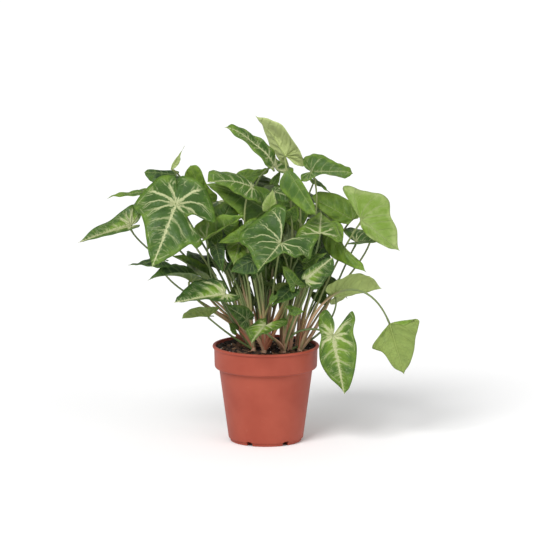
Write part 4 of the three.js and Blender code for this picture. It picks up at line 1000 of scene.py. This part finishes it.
class Graph:
    """A small helper that writes a material's nodes. Its methods return Values."""

    def __init__(self, name):
        self.material = bpy.data.materials.new(name)
        self.material.use_nodes = True
        self.nodes = self.material.node_tree.nodes
        self.shader = self.nodes["Principled BSDF"]

    def put(self, socket, value):
        if isinstance(value, Value):
            self.material.node_tree.links.new(value.socket, socket)
        else:
            socket.default_value = value

    def node(self, kind, inputs, output=0, **settings):
        """Adds a node, fills its inputs, by name or in order, and returns one of its outputs."""
        node = self.nodes.new("ShaderNode" + kind)
        for key, value in settings.items():
            setattr(node, key, value)
        for key, value in inputs.items() if isinstance(inputs, dict) else enumerate(inputs):
            self.put(node.inputs[key], value)
        return Value(self, node.outputs[output])

    def math(self, operation, *values):
        return self.node("Math", values, operation=operation)

    def floor(self, value):
        return self.math("FLOOR", value)

    def size(self, value):
        return self.math("ABSOLUTE", value)

    def most(self, first, *others):
        for other in others:
            first = self.math("MAXIMUM", first, other)
        return first

    def above(self, value, limit):
        """1 where value is above the limit, and otherwise 0."""
        return self.math("GREATER_THAN", value, limit)

    def angle(self, y, x):
        return self.math("ARCTAN2", y, x)

    def step(self, value, low, high):
        """0 where value is at low and 1 where it is at high, smoothly."""
        return self.node("MapRange", (value, low, high, 0, 1), interpolation_type="SMOOTHSTEP")

    def noise(self, place, scale, detail=3, roughness=0.55, distortion=0):
        return self.node("TexNoise", {"Vector": place, "Scale": scale, "Detail": detail,
                                      "Roughness": roughness, "Distortion": distortion})

    def cells(self, place, scale):
        """How far a place is from the nearest edge of a net of cells."""
        return self.node("TexVoronoi", {"Vector": place, "Scale": scale}, "Distance",
                         feature="DISTANCE_TO_EDGE")

    def random(self, *values):
        """A number from 0 to 1 that belongs to three values."""
        return self.node("TexWhiteNoise", {"Vector": self.vector(*values)}, "Value")

    def mix(self, factor, a, b):
        return self.node("Mix", {0: factor, 6: a, 7: b}, 2, data_type="RGBA")

    def vector(self, x, y, z):
        return self.node("CombineXYZ", (x, y, z))

    def parts(self, vector):
        """The three numbers of a vector."""
        return [self.node("SeparateXYZ", (vector,), k) for k in range(3)]

    def attribute(self, name):
        return self.parts(self.node("Attribute", (), "Vector", attribute_name=name))

    def position(self):
        return self.node("TexCoord", (), "Object")

    def bump(self, height, distance, strength):
        self.put(self.shader.inputs["Normal"], self.node(
            "Bump", {"Strength": strength, "Distance": distance, "Height": height}))

    def paint(self, base, specular=0.5):
        self.put(self.shader.inputs["Base Color"], base)
        self.shader.inputs["Specular IOR Level"].default_value = specular


# The share of a surface's own colour that stays when the bright studio light is allowed for.
LIGHT_SHARE = 0.72


def colour(red, green, blue):
    """A colour given as it is seen in the studio, from 0 to 255, made linear."""
    linear = [((c / 255 + 0.055) / 1.055) ** 2.4 if c > 10 else c / 255 / 12.92
              for c in (red, green, blue)]
    return (*(LIGHT_SHARE * value for value in linear), 1)


DEEP_GREEN = colour(28, 54, 26)
MID_GREEN = colour(72, 108, 36)
LIME_GREEN = colour(122, 156, 48)
PALE_GREEN = colour(178, 196, 122)
VEIN_GREEN = colour(128, 154, 78)
CREAM = colour(206, 212, 158)
UNDER_GREEN = colour(92, 120, 56)
UNDER_LIME = colour(148, 170, 84)
UNDER_VEIN = colour(172, 192, 108)
UNDER_PALE = colour(230, 244, 166)
RIB_WIDTHS = (0.004, 0.017)  # at the tip and more at the notch, in midrib lengths
VEIN_WIDTHS = (0.013, 0.005)  # the least and what chance adds, in midrib lengths
FORKS = ((0.3, 0.75), (0.55, 1.0))  # how far out a fork starts and how fast it leaves its vein


def vein_masks(g):
    """Where the veins, their cream bands and the halo round them lie on a blade."""
    x, y, seeded = g.attribute("flat")
    cream, tone, spread = g.attribute("look")
    seed = g.floor(seeded * 0.4999)
    ring = seeded - seed * 2
    place = g.vector(x, y, seed * 3.7)
    reach = g.math("SQRT", x * x + y * y)
    away = g.size(y)
    warp = (g.noise(place, 2.6, 2) - 0.5) * 0.22 + (g.noise(place, 13, 2) - 0.5) * 0.035
    ahead = x + warp * g.step(reach, 0, 0.3)
    curve = away * VEIN_SLOPE + away * away * VEIN_CURVE
    side = (ahead - curve) * (1 / VEIN_SPACING)
    lobe = (g.angle(away, ahead) - g.angle(away, curve)) * (1 / LOBE_VEIN_STEP)
    in_front = g.above(side, 0)
    phase = side * in_front + lobe * (in_front - 1)
    index = g.floor(phase + 0.5)
    off = g.size(phase - index)
    pitch = (in_front * (VEIN_SPACING * math.sin(FIRST_VEIN_ANGLE))
             + (1 - in_front) * reach * LOBE_VEIN_STEP)
    lateral = off * pitch
    before = g.above(x, 0)
    midrib = away * before + reach * (1 - before)

    # Each vein has a strength and a reach of its own; the lobes' and the first pair are strong.
    own = g.random(index, g.above(y, 0), seed)
    strength = own * 0.25 + 0.8 - g.step(index, 0.4, 0.6) * (own * 0.4 + 0.2)
    ends = own * 0.3 + 0.66
    reached = g.step(ring, ends, ends - 0.2)
    opened = g.step(reach, 0.005, 0.06) * 0.65 + 0.35
    taper = 1.3 - ring * 0.95
    side_width = spread * taper * opened * (own * VEIN_WIDTHS[1] + VEIN_WIDTHS[0])
    rib_width = spread * opened * (g.most(1 - x, 0) * RIB_WIDTHS[1] + RIB_WIDTHS[0])

    grain = g.noise(place, 34, 3, 0.75, 0.4) - 0.5
    streak = g.noise(g.vector(side * 1.3, away * 2.2, seed), 5, 4, 0.75) - 0.5
    fray = (grain * 0.045 + streak * 0.05) * (spread + 0.3)
    side_band = g.step(lateral - fray * taper * 0.5, side_width * 1.4, side_width * 0.5)
    side_band = side_band * reached * strength
    rib_band = g.step(midrib - fray * taper, rib_width * 1.35, rib_width * 0.5)

    # Forks leave a vein part way out, and a short brush of small veins leaves the midrib.
    fork = 0
    for start, slope in FORKS:
        root = own * 0.2 + start
        apart = g.size(off - (ring - root) * slope) * pitch
        line = g.step(apart, 0.011, 0.003) * g.step(ring, root, root + 0.03)
        fork = g.most(line * g.step(ring, 0.95, 0.75), fork)
    fork = fork * strength * g.step(g.noise(place, 8, 1), 0.4, 0.56)
    thirds = g.size(g.math("FRACT", side * 3) - 0.5)
    brush = (g.step(0.5 - thirds, 0.24, 0.08) * in_front
             * g.step(midrib - streak * 0.12, rib_width * 2 + 0.035, rib_width * 1.2))
    small = g.size(g.math("FRACT", phase * 3) - 0.5)
    dashes = g.noise(g.vector(side * 3, away * 5, seed), 4, 2, 0.6)
    flecks = (g.step(dashes, 0.6, 0.68) * g.step(ring, 0.99, 0.85) * g.step(ring, 0.45, 0.7)
              * g.step(g.noise(place, 4, 1), 0.45, 0.6))
    rim = g.size(ring - (warp * 0.6 + 0.9))
    border = g.step(rim, 0.02, 0.004) * g.step(g.noise(place, 7, 2), 0.46, 0.6)
    broad = g.step(spread, 1.4, 2.2)
    heart = broad * (g.step(ring + streak * 0.5 + warp * 1.2, 0.8, 0.3) * 0.8 - 0.1)
    return {
        "place": place, "ring": ring, "cream": cream, "broad": broad, "tone": tone + heart,
        "band": g.most(side_band, rib_band, fork * 0.6, brush * 0.4),
        "line": g.most(g.step(lateral, 0.012, 0.002), g.step(midrib, 0.016, 0.004)),
        "halo": g.most(g.step(lateral, side_width + 0.045, 0), g.step(midrib, rib_width + 0.06, 0)),
        "small": small, "flecks": flecks, "border": border,
        "net": g.step(g.cells(place, 19), 0.05, 0),
    }


def upper_leaf_material():
    """The upper face: satin green with feathered cream veins and a brighter margin."""
    g = Graph("leaf_upper")
    m = vein_masks(g)
    mottle = g.noise(m["place"], 5, 4, 0.6)
    fine = g.noise(m["place"], 48, 3, 0.7)
    margin = g.step(m["ring"] + (mottle - 0.5) * 0.5, 0.66, 1.02) * (0.34 - m["broad"] * 0.3)
    cloud = (mottle - 0.5) * (m["tone"] * 0.45 + 0.4)
    tone = (m["tone"] + cloud + m["halo"] * 0.12 + (fine - 0.5) * 0.3 + margin
            + g.step(m["small"], 0.08, 0) * 0.05 + m["net"] * 0.1)
    # The tone is partly the leaf's own green and partly painted light and shade: a low tone paints
    # shade onto leaves in shade, and a raised one paints light onto some shaded leaves.
    green = g.mix(g.step(tone, 0.0, 0.6), DEEP_GREEN, MID_GREEN)
    green = g.mix(g.step(tone, 0.5, 1.15), green, LIME_GREEN)
    green = g.mix(g.step(tone, 1.2, 2.2), green, PALE_GREEN)
    green = g.mix(m["line"] * 0.4, green, VEIN_GREEN)
    cream = g.most(m["band"], m["flecks"] * 0.5, m["border"] * 0.42) * m["cream"]
    g.paint(g.mix(cream, green, CREAM), 0.3)
    g.put(g.shader.inputs["Roughness"], mottle * 0.2 + 0.36)
    g.bump(m["line"] * -0.8 + m["net"] * -0.5 + fine * 0.4 + mottle * 1.2, 0.0006, 0.8)
    return g.material


def under_leaf_material():
    """The underside: paler, duller, with raised veins."""
    g = Graph("leaf_under")
    m = vein_masks(g)
    mottle = g.noise(m["place"], 7, 4, 0.6)
    fine = g.noise(m["place"], 70, 3, 0.6)
    # Here too the tone is partly painted light and shade: a raised tone lightens shaded undersides.
    lime = g.step(m["tone"] + (mottle - 0.5) * 1.3, 0.1, 1.4)
    base = g.mix(lime, UNDER_GREEN, UNDER_LIME)
    base = g.mix(m["halo"] * 0.25, base, UNDER_LIME)
    base = g.mix(g.step(m["tone"], 1, 2), base, UNDER_PALE)
    base = g.mix(m["net"] * 0.2, base, UNDER_VEIN)
    g.paint(g.mix(m["line"] * 0.55, base, UNDER_VEIN), 0.28)
    g.put(g.shader.inputs["Roughness"], mottle * 0.15 + 0.46)
    g.bump(m["line"] + m["net"] * 0.6 + fine * 0.3, 0.0006, 0.8)
    return g.material


STEM_BROWN = colour(214, 156, 126)
STEM_RED = colour(222, 118, 88)
STEM_TAN = colour(218, 194, 150)
STEM_GREEN = colour(160, 172, 106)
STEM_DARK = colour(118, 138, 78)
SHEATH_BROWN = colour(204, 146, 118)
SHEATH_TAN = colour(230, 196, 158)
SHEATH_RED = colour(216, 122, 90)
GREEN_STEM = 0.84  # a petiole with a tone above this is green all the way and has no sheath


def stem_material():
    """Stems that run from reddish brown at the soil to green, with streaks along them."""
    g = Graph("stem_skin")
    share, turn, tone = g.attribute("look")
    dry, _, _ = g.attribute("flat")
    _, _, height = g.parts(g.position())
    streaks = g.noise(g.vector(turn * 9, share * 5, tone * 31), 1.6, 4, 0.7)
    from_middle = tone - 0.5
    rise = g.most(g.step(height + from_middle * -0.09 + (streaks - 0.5) * 0.04, 0.12, 0.19),
                  g.step(share, 0.35, 0.6), g.step(tone, GREEN_STEM - 0.02, GREEN_STEM + 0.02))
    low = g.mix(g.step(streaks, 0.35, 0.65), STEM_BROWN, STEM_TAN)
    low = g.mix(g.step(tone, 0.42, 0.22) * 0.85, low, STEM_RED)
    high = g.mix(g.step(streaks + from_middle * 0.5, 0.3, 0.7), STEM_GREEN, STEM_DARK)
    papery = g.mix(g.step(streaks, 0.4, 0.62), SHEATH_BROWN, SHEATH_TAN)
    papery = g.mix(g.step(tone, 0.46, 0.24) * 0.75, papery, SHEATH_RED)
    papery = g.mix(g.step(tone, 0.6, 0.75) * 0.5, papery, STEM_GREEN)
    papery = g.mix(g.step(height, 0.125, 0.15) * 0.45, papery, STEM_GREEN)
    g.paint(g.mix(dry, g.mix(rise, low, high), papery))
    g.shader.inputs["Roughness"].default_value = 0.48
    g.bump(streaks, 0.0004, 0.5)
    return g.material


POT_DARK = colour(173, 79, 60)
POT_LIGHT = colour(185, 89, 69)
POT_SCUFF = colour(200, 120, 98)


def pot_material():
    """Satin terracotta-coloured plastic with a faint moulded grain."""
    g = Graph("pot_plastic")
    place = g.position()
    scuff = g.noise(place, 140, 4, 0.65)
    base = g.mix(g.step(g.noise(place, 26, 3, 0.5), 0.3, 0.7), POT_DARK, POT_LIGHT)
    g.paint(g.mix(g.step(scuff, 0.62, 0.75) * 0.14, base, POT_SCUFF), 0.22)
    g.put(g.shader.inputs["Roughness"], scuff * 0.16 + 0.42)
    g.bump(g.noise(place, 1400, 2, 0.6) * 0.5 + scuff * 0.4, 0.00012, 0.5)
    return g.material


def grain_material(name, dark, light, scale, roughness, depth):
    """A rough grainy material, each bit a tone of its own."""
    g = Graph(name)
    bit, _, _ = g.attribute("look")
    cells = g.noise(g.position(), scale, 5, 0.7)
    g.paint(g.mix(g.step(bit * 0.7 + cells * 0.7, 0.35, 1.05), dark, light))
    g.shader.inputs["Roughness"].default_value = roughness
    g.bump(cells, depth, 0.8)
    return g.material


# ---------------------------------------------------------------- assembly

# Loose bits on the soil: how many, their size, how flat and long they are, how rough they are,
# how finely they are modelled and how deep they sink, then what grain_material asks for.
SOIL_BITS = {
    "compost_crumbs": {
        "count": 900, "size": (0.5, 1.7), "flat": (0.5, 1), "long": (1, 1.6), "rough": 0.35,
        "fine": 1, "sunk": 0.3,
        "paint": ("crumbs", colour(24, 17, 14), colour(78, 56, 43), 1200, 0.95, 0.0006)},
    "bark_chips": {
        "count": 110, "size": (0.9, 2.6), "flat": (0.25, 0.5), "long": (1.3, 2.6), "rough": 0.3,
        "fine": 2, "sunk": 0.1,
        "paint": ("bark", colour(74, 48, 34), colour(160, 120, 86), 700, 0.85, 0.0005)},
    "bark_chunks": {
        "count": 12, "size": (2.6, 4.2), "flat": (0.4, 0.7), "long": (1.2, 1.7), "rough": 0.4,
        "fine": 2, "sunk": 0.35,
        "paint": ("chunks", colour(60, 38, 28), colour(150, 108, 76), 420, 0.9, 0.0012)},
    "perlite": {
        "count": 90, "size": (0.4, 1.0), "flat": (0.7, 1), "long": (1, 1.3), "rough": 0.3,
        "fine": 2, "sunk": 0.1,
        "paint": ("perlite", colour(178, 172, 160), colour(236, 233, 225), 900, 0.8, 0.0003)},
}
COMPOST_PAINT = ("compost", colour(26, 19, 16), colour(62, 45, 36), 900, 0.95, 0.0012)

# Small leaves deep inside a plantlet, in the dark finish as painted shade for the plant's
# shaded middle: how many, how high in millimetres, how far out of the crown's own direction,
# and the directions in degrees, 0 to the right and 90 to the back.
YOUNG_LEAVES = [
    {"count": 2, "height": (198, 246), "out": (4, 14), "angle": (0, 360)},
    {"count": 2, "height": (162, 204), "out": (10, 30), "angle": (25, 155)},
]
YOUNG_LENGTH = (20, 30)
YOUNG_SPREAD = (1.5, 1.2)  # how much wider than the crowns they stand, across and in depth
YOUNG_OUT, YOUNG_DOWN = 0.45, 0.9  # how a midrib leads out and down, in shares of its length
YOUNG_FACE = (0, 0, 0.4)  # how much the upper face looks up besides outwards
YOUNG_SHAPE = {"wide": 0.5, "lobe": 0.4, "bow": 15}


def young_leaves(plant):
    """Painted-shade leaves deep in the plant, which the solids leave out, each turned outwards."""
    rng = random.Random("young " + plant)
    x, y = CROWNS[plant]
    found = []
    for group in YOUNG_LEAVES:
        for _ in range(group["count"]):
            angle = math.radians(rng.uniform(*group["angle"]))
            out = np.array([math.cos(angle), math.sin(angle), 0])
            base = np.array([YOUNG_SPREAD[0] * x, YOUNG_SPREAD[1] * y,
                             rng.uniform(*group["height"])])
            base += out * rng.uniform(*group["out"])
            length = rng.uniform(*YOUNG_LENGTH)
            tip = base + out * length * YOUNG_OUT + (0, 0, -length * YOUNG_DOWN)
            name = f"young_{plant}_{len(found)}"
            # painted shade: the dark finish stands for the shade deep in the plant
            found.append(Leaf(name, plant, base, tip, out + YOUNG_FACE, "dark", YOUNG_SHAPE))
    return found


def make_plant():
    """Every plantlet's stems and small leaves, and then the large leaves one by one."""
    upper, under, skin = upper_leaf_material(), under_leaf_material(), stem_material()
    leaves = [Leaf(*row) for row in LEAVES]
    for plant in CROWNS:
        node = f"stems_{plant}"
        tree = node_tree(node)
        rng = random.Random(plant)
        stems, small = Builder(), Builder()
        add_crown(stems, plant)
        for leaf in (leaf for leaf in leaves if leaf.plant == plant):
            curve = routed_curve(leaf, tree)
            tone = leaf.look.get("stem", rng.random())
            add_petiole(stems, leaf, curve, tone)
            if tone < GREEN_STEM:
                add_sheath(stems, curve, rng, tone)
            if leaf.small:
                add_blade(small, leaf)
        for leaf in young_leaves(plant):
            add_petiole(stems, leaf, petiole_curve(leaf, np.zeros(3)), rng.random())
            add_blade(small, leaf)
        stems.piece(f"petioles_{plant}", [skin], "stems", [node])
        small.piece(f"small_leaves_{plant}", [upper, under], "stems", [node])
    for leaf in leaves:
        if not leaf.small:
            blade = Builder()
            add_blade(blade, leaf)
            name = "blade_" + leaf.name.removeprefix("leaf_")
            blade.piece(name, [upper, under], "leaf_" + leaf.finish, [leaf.name])


# The studio, in metres and degrees: the camera looks level with the photograph's view.
TARGET = Vector((0.0125, 0, 0.1861))
CAMERA_DISTANCE = 6.0
CAMERA_ELEVATION = math.radians(10.6)
CAMERA_REACH = 60
LENS = 348.1  # millimetres
GROUND_REACH = 14
WHITE = (1, 1, 1, 1)
WHITE_GLOW = 0.55
GROUND_WHITE = (0.93, 0.93, 0.93, 1)

# Each light: where it stands, its angle and its power.
LIGHTS = {"key": ((-1.2, -2.2, 2.6), 30, 2.4), "fill": ((2.0, -2.4, 1.6), 50, 0.7)}


def make_ground():
    """A wide pale floor."""
    corners = [(x * GROUND_REACH / MM, y * GROUND_REACH / MM, 0)
               for x, y in ((-1, -1), (1, -1), (1, 1), (-1, 1))]
    floor = new_object("floor", corners, [[0, 1, 2, 3]])
    g = Graph("floor_paint")
    g.shader.inputs["Base Color"].default_value = GROUND_WHITE
    g.shader.inputs["Roughness"].default_value = 0.9
    floor.data.materials.append(g.material)
    floor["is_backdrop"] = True


def make_light(name, place, angle, power):
    """A wide soft source, as far away as the sun is, that shines from a place on the target."""
    data = bpy.data.lights.new(name, "SUN")
    data.angle, data.energy = math.radians(angle), power
    light = bpy.data.objects.new(name, data)
    light.location = place
    light.rotation_euler = (TARGET - Vector(place)).to_track_quat("-Z", "Y").to_euler()
    bpy.context.scene.collection.objects.link(light)


def make_studio():
    """A white world, two lights and the camera."""
    scene = bpy.context.scene
    scene.view_settings.view_transform = "Standard"
    scene.world = bpy.data.worlds.new("studio")
    scene.world.use_nodes = True
    background = scene.world.node_tree.nodes["Background"]
    background.inputs["Color"].default_value = WHITE
    background.inputs["Strength"].default_value = WHITE_GLOW
    for name, facts in LIGHTS.items():
        make_light(name, *facts)
    camera = bpy.data.objects.new("camera", bpy.data.cameras.new("camera"))
    back = Vector((0, -math.cos(CAMERA_ELEVATION), math.sin(CAMERA_ELEVATION)))
    camera.location = TARGET + back * CAMERA_DISTANCE
    camera.rotation_euler = (-back).to_track_quat("-Z", "Y").to_euler()
    camera.data.lens, camera.data.clip_end = LENS, CAMERA_REACH
    scene.collection.objects.link(camera)
    scene.camera = camera


def write_sizes():
    """Works out the corners of the CAD part and of the dressed scene."""
    sizes = {"cad": cad_box, "visual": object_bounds()}
    plain = {key: [[float(v) for v in corner] for corner in box] for key, box in sizes.items()}


make_studio()
make_ground()
make_pot(pot_material())
make_soil(grain_material(*COMPOST_PAINT))
for bit_name, bit_facts in SOIL_BITS.items():
    make_bits(bit_name, bit_facts)
make_plant()
write_sizes()
